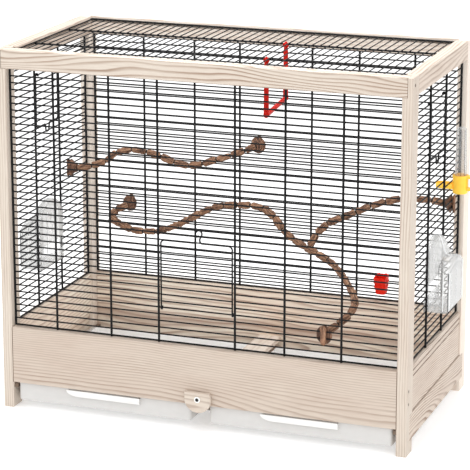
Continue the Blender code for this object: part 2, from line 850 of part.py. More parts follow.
def wire_door(name, bars, rows, direction, feature, to_point):
    """A wire door. It hinges on its first row where direction is 1 and on its last where it is -1."""
    middle = sum(bars) / 2
    half_span = (bars[1] - bars[0]) / 2 - DOOR_SIDE_PLAY
    low, high = rows
    height = row_z(high) - row_z(low)
    hinge_z = row_z(low if direction == 1 else high)
    outline = door_outline(half_span, height, feature(height))
    frame = [*reversed(hook(-half_span, direction))]
    frame += [(along, HOOK_RADIUS, direction * up) for along, up in outline]
    frame += hook(half_span, direction)
    points = [to_point(middle + along, out, up) for along, out, up in frame]
    made = finish_mesh(name, bent_wire(name, points, DOOR_RADIUS), "wire")
    rungs = bmesh.new()
    for row in range(low + 1, high):
        up = row_z(row) - hinge_z
        ends = [to_point(middle + reach, HOOK_RADIUS, up) for reach in (-half_span, half_span)]
        put_wire(rungs, *ends, THIN_RADIUS * SQUARE_SHARE, THIN_SIDES, (0, 0, 1))
    rung_object = finish_mesh(name + "_rungs", rungs, None, True)
    fuse(made, rung_object)
    return (made, rung_object), hinge_z


def front_door():
    """Hinged on the row of wire at its foot, it drops open outward."""

    def to_point(along, out, up):
        return Vector((along, -out, up))

    pieces, hinge_z = wire_door("front_door", front_door_bars(), FRONT_DOOR_ROWS, 1, curl_feature, to_point)
    for piece in pieces:
        piece.location = (0, FRONT_GRILLE_Y + ROW_BEHIND, hinge_z)


def side_door(name, side):
    """Hinged on the row of wire at its top, it lifts open outward."""

    def to_point(along, out, up):
        return Vector((side * out, along, up))

    pieces, hinge_z = wire_door(name, side_door_bars(), SIDE_DOOR_ROWS, -1, dip_feature, to_point)
    for piece in pieces:
        piece.location = (side * (SIDE_GRILLE_X - ROW_BEHIND), 0, hinge_z)


# Runners and trays


def side_runner(name, side):
    outer = INNER_HALF - GAP
    runner_x = sorted((side * outer, side * (outer - SIDE_RUNNER_WIDTH)))
    return box(
        name,
        (runner_x[0], FRONT + RUNNER_FRONT_INSET, LEDGE_TOP - LEDGE_HEIGHT),
        (runner_x[1], REAR - PANEL_THICK - GAP, LEDGE_TOP),
        "pine",
    )


def centre_board(name, width, low, high, front=FRONT + PANEL_THICK + GAP):
    half = width / 2
    return box(name, (-half, front, low), (half, REAR - PANEL_THICK - GAP, high), "pine_inside")


def centre_runner():
    cap_top = RUNNER_CAP_BOTTOM + RUNNER_CAP_HEIGHT
    ledge_low = CENTRE_LEDGE_TOP - LEDGE_HEIGHT
    centre_board("runner_ledge", RUNNER_LEDGE_WIDTH, ledge_low, CENTRE_LEDGE_TOP, FRONT + RUNNER_LEDGE_INSET)
    centre_board("runner_web", RUNNER_WEB_WIDTH, CENTRE_LEDGE_TOP + GAP, RUNNER_CAP_BOTTOM - GAP)
    centre_board("runner_cap", RUNNER_CAP_WIDTH, RUNNER_CAP_BOTTOM, cap_top)


def grip_outline(half, reach, corner):
    """The grip seen from above: a bar with rounded front corners, as (X, Y) from the tray's front."""
    right = arc((half - corner, corner - reach), corner, 0, -math.pi / 2, GRIP_CORNER_STEPS)
    left = arc((corner - half, corner - reach), corner, -math.pi / 2, -math.pi / 2, GRIP_CORNER_STEPS)
    back = TRAY_WALL / 2
    return [(half, back), *right, *left, (-half, back)]


def flat_solid(name, outline, place, thick, helper=True, material=None):
    """A prism from a flat outline in its own XY plane, its middle at place."""
    curve = bpy.data.curves.new(name, "CURVE")
    curve.dimensions = "2D"
    curve.fill_mode = "BOTH"
    curve.extrude = thick / 2
    spline = curve.splines.new("POLY")
    spline.points.add(len(outline) - 1)
    for target, corner in zip(spline.points, outline):
        target.co = (*corner, 0, 1)
    spline.use_cyclic_u = True
    made = finish_mesh(name, mesh_of_curve(name, curve), material, helper)
    made.matrix_world = place
    return made


def tray(name, side):
    """A shallow tray with a flange along each side and a finger grip.

    Its inner flange is the lower one, and all that passes the turn button is cut clear of its disc.
    """
    inner = TRAY_SPACING / 2
    outer = INNER_HALF - GAP - SIDE_RUNNER_WIDTH - TRAY_PLAY
    low_x, high_x = sorted((side * inner, side * outer))
    front, back = FRONT + TRAY_FRONT_INSET, REAR - TRAY_BACK_INSET
    made = box(name, (low_x, front, TRAY_BOTTOM), (high_x, back, TRAY_TOP), "tray")
    flanges = bmesh.new()
    for edge, away, ledge in ((side * inner, -side, CENTRE_LEDGE_TOP), (side * outer, side, LEDGE_TOP)):
        flange_x = sorted((edge - away * TRAY_WALL / 2, edge + away * TRAY_FLANGE))
        flange_low = ledge + GAP
        put_box(
            flanges,
            (flange_x[0], front + TRAY_WALL, flange_low),
            (flange_x[1], back - TRAY_WALL, flange_low + TRAY_FLANGE_THICK),
        )
    middle = (low_x + high_x) / 2
    grip_z = TRAY_TOP - GRIP_TOP_DROP - GRIP_HEIGHT / 2
    outline = grip_outline(GRIP_LENGTH / 2, GRIP_PROUD, GRIP_CORNER)
    grip = flat_solid(name + "_grip", outline, Matrix.Translation((middle, front, grip_z)), GRIP_HEIGHT)
    inside = grip_outline(GRIP_LENGTH / 2 - GRIP_WALL, GRIP_PROUD - GRIP_WALL, GRIP_CORNER - GRIP_WALL)
    inside = [(x, min(y, -GAP)) for x, y in inside]
    pocket_place = Matrix.Translation((middle, front, grip_z - GRIP_WALL))
    pocket = flat_solid(name + "_grip_pocket", inside, pocket_place, GRIP_HEIGHT)
    fuse(made, finish_mesh(name + "_flanges", flanges, None, True), grip)
    hollow = box(
        name + "_hollow",
        (low_x + TRAY_WALL, front + TRAY_WALL, TRAY_BOTTOM + TRAY_WALL),
        (high_x - TRAY_WALL, back - TRAY_WALL, TRAY_TOP + OVERRUN),
        None,
        True,
    )
    relief = rod(
        name + "_relief",
        (0, front - OVERRUN, BUTTON_Z),
        (0, back + OVERRUN, BUTTON_Z),
        RELIEF_RADIUS,
        BUTTON_STEPS,
    )
    cut(made, hollow, pocket, relief)
    return made


# Turn button


def button_outline():
    """A disc with a flat above its centre and a square corner at its upper left, as (X, Z)."""
    end = math.asin(BUTTON_FLAT / BUTTON_RADIUS)
    rim = arc((0, 0), BUTTON_RADIUS, end, -math.pi - end, BUTTON_STEPS)
    return [(-BUTTON_RADIUS, BUTTON_FLAT), *rim]


def turn_button():
    middle_y = FRONT - GAP - BUTTON_THICK / 2
    upright = Matrix.Rotation(math.pi / 2, 4, "X")
    place = Matrix.Translation((0, middle_y, BUTTON_Z)) @ upright
    made = flat_solid("turn_button", button_outline(), place, BUTTON_THICK, False, "pine")
    rounding = made.modifiers.new("edges", "BEVEL")
    rounding.width = BUTTON_EDGE
    rounding.segments = 1
    rounding.limit_method = "ANGLE"
    rounding.angle_limit = BUTTON_EDGE_ANGLE
    washer_y = FRONT - GAP - BUTTON_THICK - GAP
    head_y = washer_y - WASHER_THICK - GAP
    reach = Vector((0, BUTTON_THICK, 0))
    axis = Vector((0, washer_y, BUTTON_Z))
    hole = rod("button_hole", axis - reach, axis + reach + reach, SCREW_HOLE_RADIUS, SCREW_STEPS)
    cut(made, hole)
    washer = rod(
        "button_washer",
        axis,
        axis - Vector((0, WASHER_THICK, 0)),
        WASHER_RADIUS,
        WASHER_SIDES,
        False,
        "washer",
    )
    cut(washer, hole)
    screw = turned("button_screw", screw_profile(BUTTON_SCREW_LENGTH), SCREW_STEPS, "steel")
    screw.location = (0, head_y, BUTTON_Z)
    screw.rotation_euler = (math.pi / 2, 0, 0)
    shank_hole = rod(
        "button_screw_hole",
        (0, FRONT - OVERRUN, BUTTON_Z),
        (0, head_y + BUTTON_SCREW_LENGTH + GAP, BUTTON_Z),
        SCREW_HOLE_RADIUS,
        SCREW_STEPS,
    )
    cut(bpy.data.objects["front_panel"], shank_hole)


# Perches


def smooth_route(points):
    """A smooth curve through hand-chosen points, sampled finely."""
    places = [Vector(point) for point in points]
    places = [2 * places[0] - places[1], *places, 2 * places[-1] - places[-2]]
    samples = []
    for before, start, end, after in zip(places, places[1:], places[2:], places[3:]):
        for number in range(PERCH_SAMPLES):
            t = number / PERCH_SAMPLES
            bend = (end - before) * t
            bend += (2 * before - 5 * start + 4 * end - after) * t**2
            bend += (3 * start - before - 3 * end + after) * t**3
            samples.append(start + bend / 2)
    samples.append(places[-2])
    return samples


def even_points(samples, spacing):
    """Points at an even spacing along the samples, with both ends kept."""
    lengths = [0]
    for first, second in zip(samples, samples[1:]):
        lengths.append(lengths[-1] + (second - first).length)
    count = max(2, round(lengths[-1] / spacing))
    points = []
    index = 0
    for number in range(count + 1):
        reach = lengths[-1] * number / count
        while index < len(lengths) - 2 and lengths[index + 1] < reach:
            index += 1
        share = (reach - lengths[index]) / (lengths[index + 1] - lengths[index])
        points.append(samples[index].lerp(samples[index + 1], share))
    return points


def branch(name, route, first=(), last=()):
    """A branch of short wood segments along a route: full between the joints and waisted at each.

    first and last are the points where it meets a knob squarely, if it does.
    """
    points = even_points(smooth_route(route), PERCH_SEGMENT)
    places, shares = [*first, points[0]], [PERCH_WAIST] * (len(first) + 1)
    for start, end in zip(points, points[1:]):
        places += [start.lerp(end, PERCH_SHOULDER), start.lerp(end, 1 - PERCH_SHOULDER), end]
        shares += [1, 1, PERCH_WAIST]
    places += last
    shares += [PERCH_WAIST] * len(last)
    shape = bent_wire(name, places, PERCH_RADIUS, shares, resolution=2)
    return finish_mesh(name, shape, "bark")


def gap_z(share):
    """The height midway between two rows of wire, a share of the way up the rows."""
    return row_z(round(share * ROWS)) + ROW_PITCH / 2


def perch_ends():
    """Where each perch is fixed: the point on the wires' inner side, and the way into the cage."""
    side = SIDE_GRILLE_X - ROW_BEHIND
    front, rear = FRONT_GRILLE_Y + ROW_BEHIND, REAR_GRILLE_Y - ROW_BEHIND
    return {
        "upper_left": ((-side, depth_at(UPPER_LEFT_SHARE), gap_z(UPPER_LEFT_ROW_SHARE)), (1, 0, 0)),
        "upper_rear": ((width_at(UPPER_REAR_SHARE), rear, gap_z(UPPER_REAR_ROW_SHARE)), (0, -1, 0)),
        "lower_rear": ((width_at(LOWER_REAR_SHARE), rear, gap_z(LOWER_REAR_ROW_SHARE)), (0, -1, 0)),
        "lower_right": ((side, depth_at(LOWER_RIGHT_SHARE), gap_z(LOWER_RIGHT_ROW_SHARE)), (-1, 0, 0)),
        "lower_front": ((width_at(LOWER_FRONT_SHARE), front, gap_z(LOWER_FRONT_ROW_SHARE)), (0, 1, 0)),
    }


def knob_face(end):
    """The middle of a knob's inner face, and the point where its perch starts to bend."""
    place, inward = (Vector(value) for value in end)
    face = place + inward * (THIN_RADIUS + GAP + KNOB_DEPTH + GAP)
    return face, face + inward * PERCH_LEAD


def route_points(shares):
    return [Vector((width_at(x), depth_at(y), z * HEIGHT)) for x, y, z in shares]


def perches():
    faces, leads = {}, {}
    for name, end in perch_ends().items():
        faces[name], leads[name] = knob_face(end)
    upper = [leads["upper_left"], *route_points(UPPER_ROUTE_SHARES), leads["upper_rear"]]
    branch("perch_upper", upper, [faces["upper_left"]], [faces["upper_rear"]])
    main = route_points(LOWER_ROUTE_SHARES)
    lower = [leads["lower_rear"], *main, leads["lower_front"]]
    branch("perch_lower", lower, [faces["lower_rear"]], [faces["lower_front"]])
    fork = route_points(FORK_ROUTE_SHARES)
    way = (fork[0] - main[JUNCTION_POINT]).normalized()
    fork = [main[JUNCTION_POINT] + way * FORK_START, *fork, leads["lower_right"]]
    branch("perch_fork", fork, [], [faces["lower_right"]])


def perch_fixings():
    """A flared knob inside the wires and, outside them, a clamp bar whose stud reaches into it."""
    for name, (place, inward) in perch_ends().items():
        place, inward = Vector(place), Vector(inward)
        base = place + inward * (THIN_RADIUS + GAP)
        knob = bmesh.new()
        put_cone(knob, base, base + inward * KNOB_DEPTH, KNOB_RADIUS, KNOB_NECK_RADIUS, KNOB_SIDES)
        near = place - inward * (THIN_RADIUS + GAP)
        far = near - inward * CLAMP_THICK
        stud_end = base + inward * STUD_BITE
        hole = rod("stud_hole_" + name, near, stud_end + inward * GAP, STUD_RADIUS + GAP, SCREW_STEPS)
        cut(finish_mesh("perch_knob_" + name, knob, "bark"), hole)
        reach = inward.cross((0, 0, 1)) * CLAMP_WIDTH / 2 + Vector((0, 0, CLAMP_HEIGHT / 2))
        corners = (near + reach, near - reach, far + reach, far - reach)
        low = [min(corner[axis] for corner in corners) for axis in range(3)]
        high = [max(corner[axis] for corner in corners) for axis in range(3)]
        clamp = box("perch_clamp_" + name, low, high, "bark")
        stud_start = (near + far) / 2
        fuse(clamp, rod("stud_" + name, stud_start, stud_end, STUD_RADIUS, SCREW_STEPS))


# Swing


def swing_places():
    """Where the swing's front and rear rings hang, each midway between two of the thin roof wires."""
    places = roof_wire_places()
    number = int(SWING_GAP_SHARE * (len(places) - 1))
    gaps = number, number - SWING_SKEW
    return [(places[gap] + places[gap + 1]) / 2 for gap in gaps]


def swing():
    """Two flat arms that hang from rings on the thick roof wires, with a round bar between them.

    It is made about the top of its front ring, and then turned towards its rear one.
    """
    pivot = ROOF_BAR_Z + THICK_RADIUS + GAP + SWING_RING_WIRE
    ring_radius = SWING_RING_INNER + SWING_RING_WIRE
    ring_z = -ring_radius
    front, rear = (depth_at(share) for share in ROOF_BAR_SHARES)
    front_x, rear_x = swing_places()
    span = math.hypot(rear - front, rear_x - front_x)
    bar_z = -SWING_DROP + SWING_BAR_RADIUS
    half_arm = SWING_ARM_THICK / 2
    made = rod(
        "swing",
        (0, -half_arm, bar_z),
        (0, span + half_arm, bar_z),
        SWING_BAR_RADIUS,
        SWING_BAR_SIDES,
        False,
        "red",
    )
    arms = bmesh.new()
    arm_top = ring_z - ring_radius + SWING_ARM_BITE
    half_width = SWING_ARM_WIDTH / 2
    for arm in (0, span):
        put_box(
            arms,
            (-half_width, arm - half_arm + GAP, bar_z),
            (half_width, arm + half_arm - GAP, arm_top),
        )
    rings = []
    for number, arm in enumerate((0, span)):
        points = []
        for step in range(SWING_RING_STEPS):
            angle = math.tau * step / SWING_RING_STEPS
            points.append((0, arm + ring_radius * math.sin(angle), ring_z + ring_radius * math.cos(angle)))
        ring_name = "swing_ring_" + str(number)
        ring = bent_wire(ring_name, points, SWING_RING_WIRE, cyclic=True, resolution=2)
        rings.append(finish_mesh(ring_name, ring, None, True))
    fuse(made, finish_mesh("swing_arms", arms, None, True), *rings)
    for helper in (made, *(modifier.object for modifier in made.modifiers)):
        helper.location = (front_x, front, pivot)
        helper.rotation_euler = (0, 0, math.atan2(front_x - rear_x, rear - front))
    return made


# Treat clip


def tapered_block(shape, bottom, top, bottom_size, top_size, back):
    """Adds a block that tapers in width and depth, its back upright at back."""
    corners = []
    for height, (width, depth) in ((bottom, bottom_size), (top, top_size)):
        half, front = width / 2, back - depth
        for x, y in ((-half, back), (half, back), (half, front), (-half, front)):
            corners.append(shape.verts.new((x, y, height)))
    low, high = corners[:4], corners[4:]
    shape.faces.new(low)
    shape.faces.new(high)
    for number in range(4):
        after = (number + 1) % 4
        shape.faces.new((low[number], low[after], high[after], high[number]))


def treat_clip():
    """A tapered cup against the rear wires, with two ribs round its front."""
    back = REAR_GRILLE_Y - ROW_BEHIND - THIN_RADIUS - GAP
    shape = bmesh.new()
    bottom_size = (CLIP_BOTTOM_WIDTH, CLIP_BOTTOM_DEPTH)
    top_size = (CLIP_TOP_WIDTH, CLIP_TOP_DEPTH)
    tapered_block(shape, 0, CLIP_HEIGHT, bottom_size, top_size, back)
    made = finish_mesh("treat_clip", shape, "red")
    ribs = bmesh.new()
    for share in CLIP_RIB_SHARES:
        width = CLIP_BOTTOM_WIDTH + share * (CLIP_TOP_WIDTH - CLIP_BOTTOM_WIDTH) + 2 * CLIP_RIB_PROUD
        depth = CLIP_BOTTOM_DEPTH + share * (CLIP_TOP_DEPTH - CLIP_BOTTOM_DEPTH) + CLIP_RIB_PROUD
        low = share * CLIP_HEIGHT
        put_box(ribs, (-width / 2, back - depth, low), (width / 2, back - GAP, low + CLIP_RIB_HEIGHT))
    rib_object = finish_mesh("treat_clip_ribs", ribs, None, True)
    cavity = bmesh.new()
    inner_bottom = (CLIP_BOTTOM_WIDTH - 2 * CLIP_WALL, CLIP_BOTTOM_DEPTH - 2 * CLIP_WALL)
    inner_top = (CLIP_TOP_WIDTH - 2 * CLIP_WALL, CLIP_TOP_DEPTH - 2 * CLIP_WALL)
    tapered_block(cavity, CLIP_WALL, CLIP_HEIGHT + GAP, inner_bottom, inner_top, back - CLIP_WALL)
    cavity_object = finish_mesh("treat_clip_cavity", cavity, None, True)
    fuse(made, rib_object)
    cut(made, cavity_object)
    for piece in (made, rib_object, cavity_object):
        piece.location = (width_at(CLIP_SHARE), 0, row_z(CLIP_ROW) + CLIP_RISE)
    return made


# Feeders


def arch_section(x, spring, rise, bottom, lip, front, rear):
    """A round-headed section of the feeder at one distance out, from its front foot to its rear one."""
    half = (rear - front) / 2
    radius = (half**2 + rise**2) / (2 * rise)
    centre = spring + rise - radius
    start = math.atan2(spring - centre, half)
    points = [(x, front, bottom), (x, front, bottom + lip)]
    for number in range(FEEDER_ARCH_STEPS + 1):
        angle = math.pi - start - (math.pi - 2 * start) * number / FEEDER_ARCH_STEPS
        y = (front + rear) / 2 + radius * math.cos(angle)
        points.append((x, y, bottom + centre + radius * math.sin(angle)))
    return [*points, (x, rear, bottom + lip), (x, rear, bottom)]


def feeder(name, side):
    """A clear hopper that fills its opening in the side grille: open inward above a low lip."""
    bars = side_door_bars()
    front, rear = bars[0] + THICK_RADIUS + GAP, bars[1] - THICK_RADIUS - GAP
    bottom = row_z(FEEDER_ROWS[0]) + THIN_RADIUS + GAP
    inner = SIDE_GRILLE_X - ROW_BEHIND - FEEDER_INNER_REACH
    outer = HALF + FEEDER_REACH
    sections = [
        arch_section(side * inner, FEEDER_INNER_SPRING, FEEDER_INNER_RISE, bottom, FEEDER_LIP, front, rear),
        arch_section(side * outer, FEEDER_OUTER_SPRING, FEEDER_OUTER_RISE, bottom, FEEDER_LIP, front, rear),
    ]
    shape = bmesh.new()
    loops = [[shape.verts.new(point) for point in section] for section in sections]
    for number in range(len(loops[0]) - 1):
        quad = (loops[0][number], loops[0][number + 1], loops[1][number + 1], loops[1][number])
        shape.faces.new(quad)
    shape.faces.new(loops[1])
    shape.faces.new((loops[0][0], loops[1][0], loops[1][-1], loops[0][-1]))
    shape.faces.new((loops[0][0], loops[0][1], loops[0][-2], loops[0][-1]))
    made = finish_mesh(name, shape, "clear")
    shell = made.modifiers.new("wall", "SOLIDIFY")
    shell.thickness = FEEDER_WALL
    shell.offset = -1
    shell.use_even_offset = True
    flanges = bmesh.new()
    near = SIDE_GRILLE_X + THICK_RADIUS + GAP
    flange_x = sorted((side * near, side * (near + FEEDER_FLANGE_THICK)))
    flange_low = bottom + FEEDER_FLANGE_RISE
    for edge, away in ((front, -1), (rear, 1)):
        flange_y = sorted((edge - away * FEEDER_FLANGE_BITE, edge + away * FEEDER_FLANGE_WIDTH))
        put_box(
            flanges,
            (flange_x[0], flange_y[0], flange_low),
            (flange_x[1], flange_y[1], flange_low + FEEDER_FLANGE_HEIGHT),
        )
    fuse(made, finish_mesh(name + "_flanges", flanges, None, True))
    return made


# Drinker


def drinker_centre():
    """The axis of the drinker's cup, just outside the right grille."""
    return SIDE_GRILLE_X + DRINKER_CLEAR + DRINKER_CUP_RADIUS


def drinker_row():
    """The row of wire that the drinker's trough rests on."""
    return round(DRINKER_ROW_SHARE * ROWS)


def drinker_base():
    """A cup outside the wires with a trough that passes between two rows into the cage."""
    centre, place = drinker_centre(), depth_at(DRINKER_SHARE)
    trough_low = row_z(drinker_row()) + THIN_RADIUS + GAP
    trough_high = row_z(drinker_row() + 1) - THIN_RADIUS - GAP
    cup_low = trough_low - DRINKER_CUP_DROP
    cup_high = cup_low + DRINKER_CUP_HEIGHT
    made = rod(
        "drinker_base",
        (centre, place, cup_low),
        (centre, place, cup_high),
        DRINKER_CUP_RADIUS,
        DRINKER_SIDES,
        False,
        "yellow",
    )
    tip = SIDE_GRILLE_X - TROUGH_REACH
    half = TROUGH_WIDTH / 2
    low, high = (tip, place - half, trough_low), (centre, place + half, trough_high)
    trough = box("drinker_trough", low, high, None, True)
    tab_low = trough_low
    tab = box(
        "drinker_tab",
        (centre, place - TAB_WIDTH / 2, tab_low),
        (centre + DRINKER_CUP_RADIUS + TAB_REACH, place + TAB_WIDTH / 2, tab_low + TAB_HEIGHT),
        None,
        True,
    )
    bore = rod(
        "drinker_bore",
        (centre, place, cup_low + DRINKER_FLOOR),
        (centre, place, cup_high + OVERRUN),
        DRINKER_CUP_INNER,
        DRINKER_SIDES,
    )
    channel = box(
        "drinker_channel",
        (tip + TROUGH_WALL, place - half + TROUGH_WALL, trough_low + TROUGH_WALL),
        (centre, place + half - TROUGH_WALL, trough_high + OVERRUN),
        None,
        True,
    )
    tab_hole = box(
        "drinker_tab_hole",
        (centre + DRINKER_CUP_RADIUS + TAB_WALL, place - TAB_WIDTH, tab_low + TAB_RIM),
        (
            centre + DRINKER_CUP_RADIUS + TAB_REACH - TAB_WALL,
            place + TAB_WIDTH,
            tab_low + TAB_HEIGHT - TAB_RIM,
        ),
        None,
        True,
    )
    fuse(made, trough, tab)
    cut(made, bore, channel, tab_hole)
    return made


def drinker_tube():
    """A clear tube, closed and slightly domed at its top, that stands in the cup."""
    wall = TUBE_WALL
    top = TUBE_LENGTH
    shoulder = top - TUBE_DOME
    flat = TUBE_TOP_RADIUS * TUBE_DOME_FLAT_SHARE
    profile = (
        (0, top),
        (flat, top),
        (TUBE_TOP_RADIUS, shoulder),
        (TUBE_RADIUS, 0),
        (TUBE_RADIUS - wall, 0),
        (TUBE_TOP_RADIUS - wall, shoulder - wall),
        (flat - wall, top - wall),
        (0, top - wall),
    )
    made = turned("drinker_tube", profile, DRINKER_SIDES, "clear")
    cup_low = row_z(drinker_row()) + THIN_RADIUS + GAP - DRINKER_CUP_DROP
    made.location = (drinker_centre(), depth_at(DRINKER_SHARE), cup_low + DRINKER_FLOOR + TUBE_LIFT)
    return made


# The cage, put together

for corner, side in (("left", LEFT), ("right", RIGHT)):
    post("post_front_" + corner, side, FRONT)
    post("post_rear_" + corner, side, REAR)
    side_rail("top_rail_" + corner, side)
    upper_side_board("side_board_upper_" + corner, side)
    lower_side_board("side_board_lower_" + corner, side)
    side_runner("runner_" + corner, side)
    side_grille("grille_" + corner, side)
    side_door("side_door_" + corner, side)
    tray("tray_" + corner, side)
    feeder("feeder_" + corner, side)

front_or_rear_rail("top_rail_front", FRONT)
front_or_rear_rail("top_rail_rear", REAR)
front_or_rear_panel("front_panel", FRONT, PANEL_BOTTOM)
front_or_rear_panel("rear_panel", REAR, REAR_PANEL_BOTTOM)
front_grille()
rear_grille()
roof_grille()
front_door()
for number, fixing in enumerate(FRAME_SCREWS, 1):
    screw("frame_screw_" + str(number), *fixing)
centre_runner()
turn_button()
perches()
perch_fixings()
swing()
treat_clip()
drinker_base()
drinker_tube()
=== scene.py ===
"""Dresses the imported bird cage: grained pine, round black wires, bark perches and moulded plastics.

Metres, in the frame of the CAD model: X to the right along the front, Y to the back, Z up.
"""

import math
import random

import bmesh
import bpy
from mathutils import Matrix, Vector, noise


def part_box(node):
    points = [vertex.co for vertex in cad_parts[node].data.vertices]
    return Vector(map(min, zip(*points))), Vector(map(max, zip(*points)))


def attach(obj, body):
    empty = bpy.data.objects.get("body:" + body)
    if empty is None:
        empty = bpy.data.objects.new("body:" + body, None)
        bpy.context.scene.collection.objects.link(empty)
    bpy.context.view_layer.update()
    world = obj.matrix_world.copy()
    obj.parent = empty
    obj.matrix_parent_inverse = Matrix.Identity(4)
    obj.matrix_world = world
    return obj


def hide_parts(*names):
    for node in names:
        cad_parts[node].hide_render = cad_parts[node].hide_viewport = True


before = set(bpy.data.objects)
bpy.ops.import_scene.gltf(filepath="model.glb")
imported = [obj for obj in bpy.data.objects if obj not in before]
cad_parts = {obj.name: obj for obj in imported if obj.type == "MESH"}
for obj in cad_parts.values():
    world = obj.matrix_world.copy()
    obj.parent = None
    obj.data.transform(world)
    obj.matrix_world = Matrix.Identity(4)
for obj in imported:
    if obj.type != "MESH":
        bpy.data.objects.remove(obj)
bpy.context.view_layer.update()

SIDES = {"left": -1, "right": 1}
SMOOTH_ANGLE = math.radians(38)

# Frame of the cage, as in the CAD model
WIDTH, DEPTH, HEIGHT = 0.810, 0.425, 0.706
HALF = WIDTH / 2
GAP = 0.0003
FRONT = -0.20665
REAR = FRONT + DEPTH
INNER_HALF = HALF - 0.020
POST_FRONT, POST_REAR = FRONT + 0.038, REAR - 0.038
PANEL_BOTTOM, PANEL_TOP = 0.052, 0.164
RAIL_BOTTOM = HEIGHT - 0.036
BOARD_SPLIT = 0.075

# Wires: radii of the solids, and the larger ones that are drawn
THIN, THICK = 0.0010, 0.00165
ROW_LOOK, BAR_LOOK, EDGE_LOOK = 0.00142, 0.0022, 0.0016
ROOF_ROW_LOOK, ROOF_BAR_LOOK, DOOR_LOOK = 0.0011, 0.0019, 0.0016
WELD_RADIUS = 0.0016
WIRE_SIDES = 10
ROW_BEHIND = THICK + GAP + THIN
ROW_PITCH = 0.0132
FIRST_ROW = PANEL_TOP + GAP + THICK + ROW_PITCH
ROWS = 37
FRONT_GRILLE_Y = FRONT + 0.012
REAR_GRILLE_Y = REAR - 0.012
SIDE_GRILLE_X = HALF - 0.008
ROOF_Z = HEIGHT - 0.007
ROOF_BAR_Z = ROOF_Z - ROW_BEHIND
ROOF_EDGE = INNER_HALF - GAP - THICK
ROOF_GAPS = 48
ROOF_INSET = 0.024 - 0.0045 + GAP + THICK
ROOF_NEAR, ROOF_FAR = FRONT + ROOF_INSET, REAR - ROOF_INSET


def row_z(row):
    return FIRST_ROW + row * ROW_PITCH


def width_at(share):
    return -HALF + share * WIDTH


def depth_at(share):
    return FRONT + share * DEPTH


def front_point(along, behind, up):
    """A place on the front grille, from how far it lies along, behind its bars and up."""
    return Vector((along, FRONT_GRILLE_Y + behind, up))


def rear_point(along, behind, up):
    return Vector((-along, REAR_GRILLE_Y - behind, up))


def side_point(side):
    return lambda along, behind, up: Vector((side * (SIDE_GRILLE_X - behind), along, up))


FRONT_BARS = [width_at(share) for share in (0.137, 0.276, 0.396, 0.584, 0.704, 0.840)]
SIDE_BARS = [depth_at(share) for share in (0.353, 0.614)]
ROOF_BARS = [depth_at(share) for share in (0.301, 0.673)]
DOOR_BARS = FRONT_BARS[2:4]
FRONT_DOOR_ROWS, SIDE_DOOR_ROWS, FEEDER_ROWS = (4, 14), (26, 34), (4, 15)


# Materials


class Finish:
    """A material, with the nodes that are added to it one after another."""

    def __init__(self, name, **values):
        self.material = bpy.data.materials.new(name)
        self.material.use_nodes = True
        self.tree = self.material.node_tree
        self.shader = self.tree.nodes["Principled BSDF"]
        for key, value in values.items():
            self.shader.inputs[key.replace("_", " ")].default_value = value

    def add(self, kind, feeds=(), **settings):
        node = self.tree.nodes.new(kind)
        for key, value in settings.items():
            setattr(node, key, value)
        for key, value in dict(feeds).items():
            self.feed(node.inputs[key], value)
        return node

    def feed(self, socket, value):
        if isinstance(value, bpy.types.NodeSocket):
            self.tree.links.new(value, socket)
        else:
            socket.default_value = value

    def calc(self, operation, *values):
        node = self.add("ShaderNodeMath", dict(enumerate(values)), operation=operation)
        return node.outputs[0]

    def place(self):
        return self.add("ShaderNodeTexCoord").outputs["Object"]

    def grain_attribute(self):
        return self.add("ShaderNodeAttribute", attribute_name="grain").outputs["Vector"]

    def stretch(self, vector, scale):
        return self.add("ShaderNodeMapping", {"Vector": vector, "Scale": scale}).outputs[0]

    def noise(self, vector, scale=1.0, detail=2.0, roughness=0.5):
        feeds = {"Vector": vector, "Scale": scale, "Detail": detail, "Roughness": roughness}
        return self.add("ShaderNodeTexNoise", feeds).outputs[0]

    def spread(self, factor, low, high, to_low=0.0, to_high=1.0, smooth=False):
        kind = "SMOOTHSTEP" if smooth else "LINEAR"
        feeds = dict(enumerate((factor, low, high, to_low, to_high)))
        return self.add("ShaderNodeMapRange", feeds, interpolation_type=kind).outputs[0]

    def mix(self, factor, first, second):
        node = self.add("ShaderNodeMix", {0: factor}, data_type="RGBA")
        for index, value in ((6, first), (7, second)):
            linked = isinstance(value, bpy.types.NodeSocket)
            self.feed(node.inputs[index], value if linked else (*value, 1.0))
        return node.outputs[2]

    def colour(self, socket):
        self.feed(self.shader.inputs["Base Color"], socket)

    def roughness(self, factor, low, high):
        self.feed(self.shader.inputs["Roughness"], self.spread(factor, 0.3, 0.7, low, high))

    def bump(self, height, strength, distance):
        feeds = {"Height": height, "Strength": strength, "Distance": distance}
        node = self.add("ShaderNodeBump", feeds)
        self.feed(self.shader.inputs["Normal"], node.outputs[0])


# Whitewashed pine outside and plain pine inside: early wood, late wood and a warmer cast
PANEL_TONES = ((0.604, 0.518, 0.440), (0.290, 0.195, 0.142), (0.545, 0.440, 0.366))
WASHED = ((0.665, 0.590, 0.508), (0.330, 0.230, 0.168), (0.610, 0.515, 0.435))
# Painted shade: a darker copy of the whitewashed pine for the side rails and side boards
WASHED_SHADED_SIDE = ((0.670, 0.575, 0.490), (0.290, 0.195, 0.140), (0.590, 0.475, 0.395))
# Painted light: a lighter copy of the whitewashed pine for the rear rail, rear posts and runners, against
# the shade inside the cage
WASHED_LIT_INSIDE = ((0.890, 0.806, 0.716), (0.560, 0.425, 0.340), (0.820, 0.705, 0.608))
# Plain pine of the inner faces, partly its own warmer colour and partly drawn lighter as painted light for
# the shade inside the cage
PLAIN_LIT = ((1.000, 0.920, 0.800), (0.420, 0.265, 0.190), (0.840, 0.650, 0.520))
SHADED = ((0.200, 0.140, 0.100), (0.090, 0.055, 0.035), (0.150, 0.100, 0.065))
HEARTWOOD = (0.330, 0.170, 0.110)

# Along, side and up for a grain that runs along each axis
AXES = {"X": (0, 1, 2), "Y": (1, 0, 2), "Z": (2, 0, 1)}
SLOW, QUICK, FINE = (3.2, 13.0), (16.0, 70.0), (28.0, 900.0)
RING_WOBBLE = 0.0022
STAIN_DRIFT = 0.045


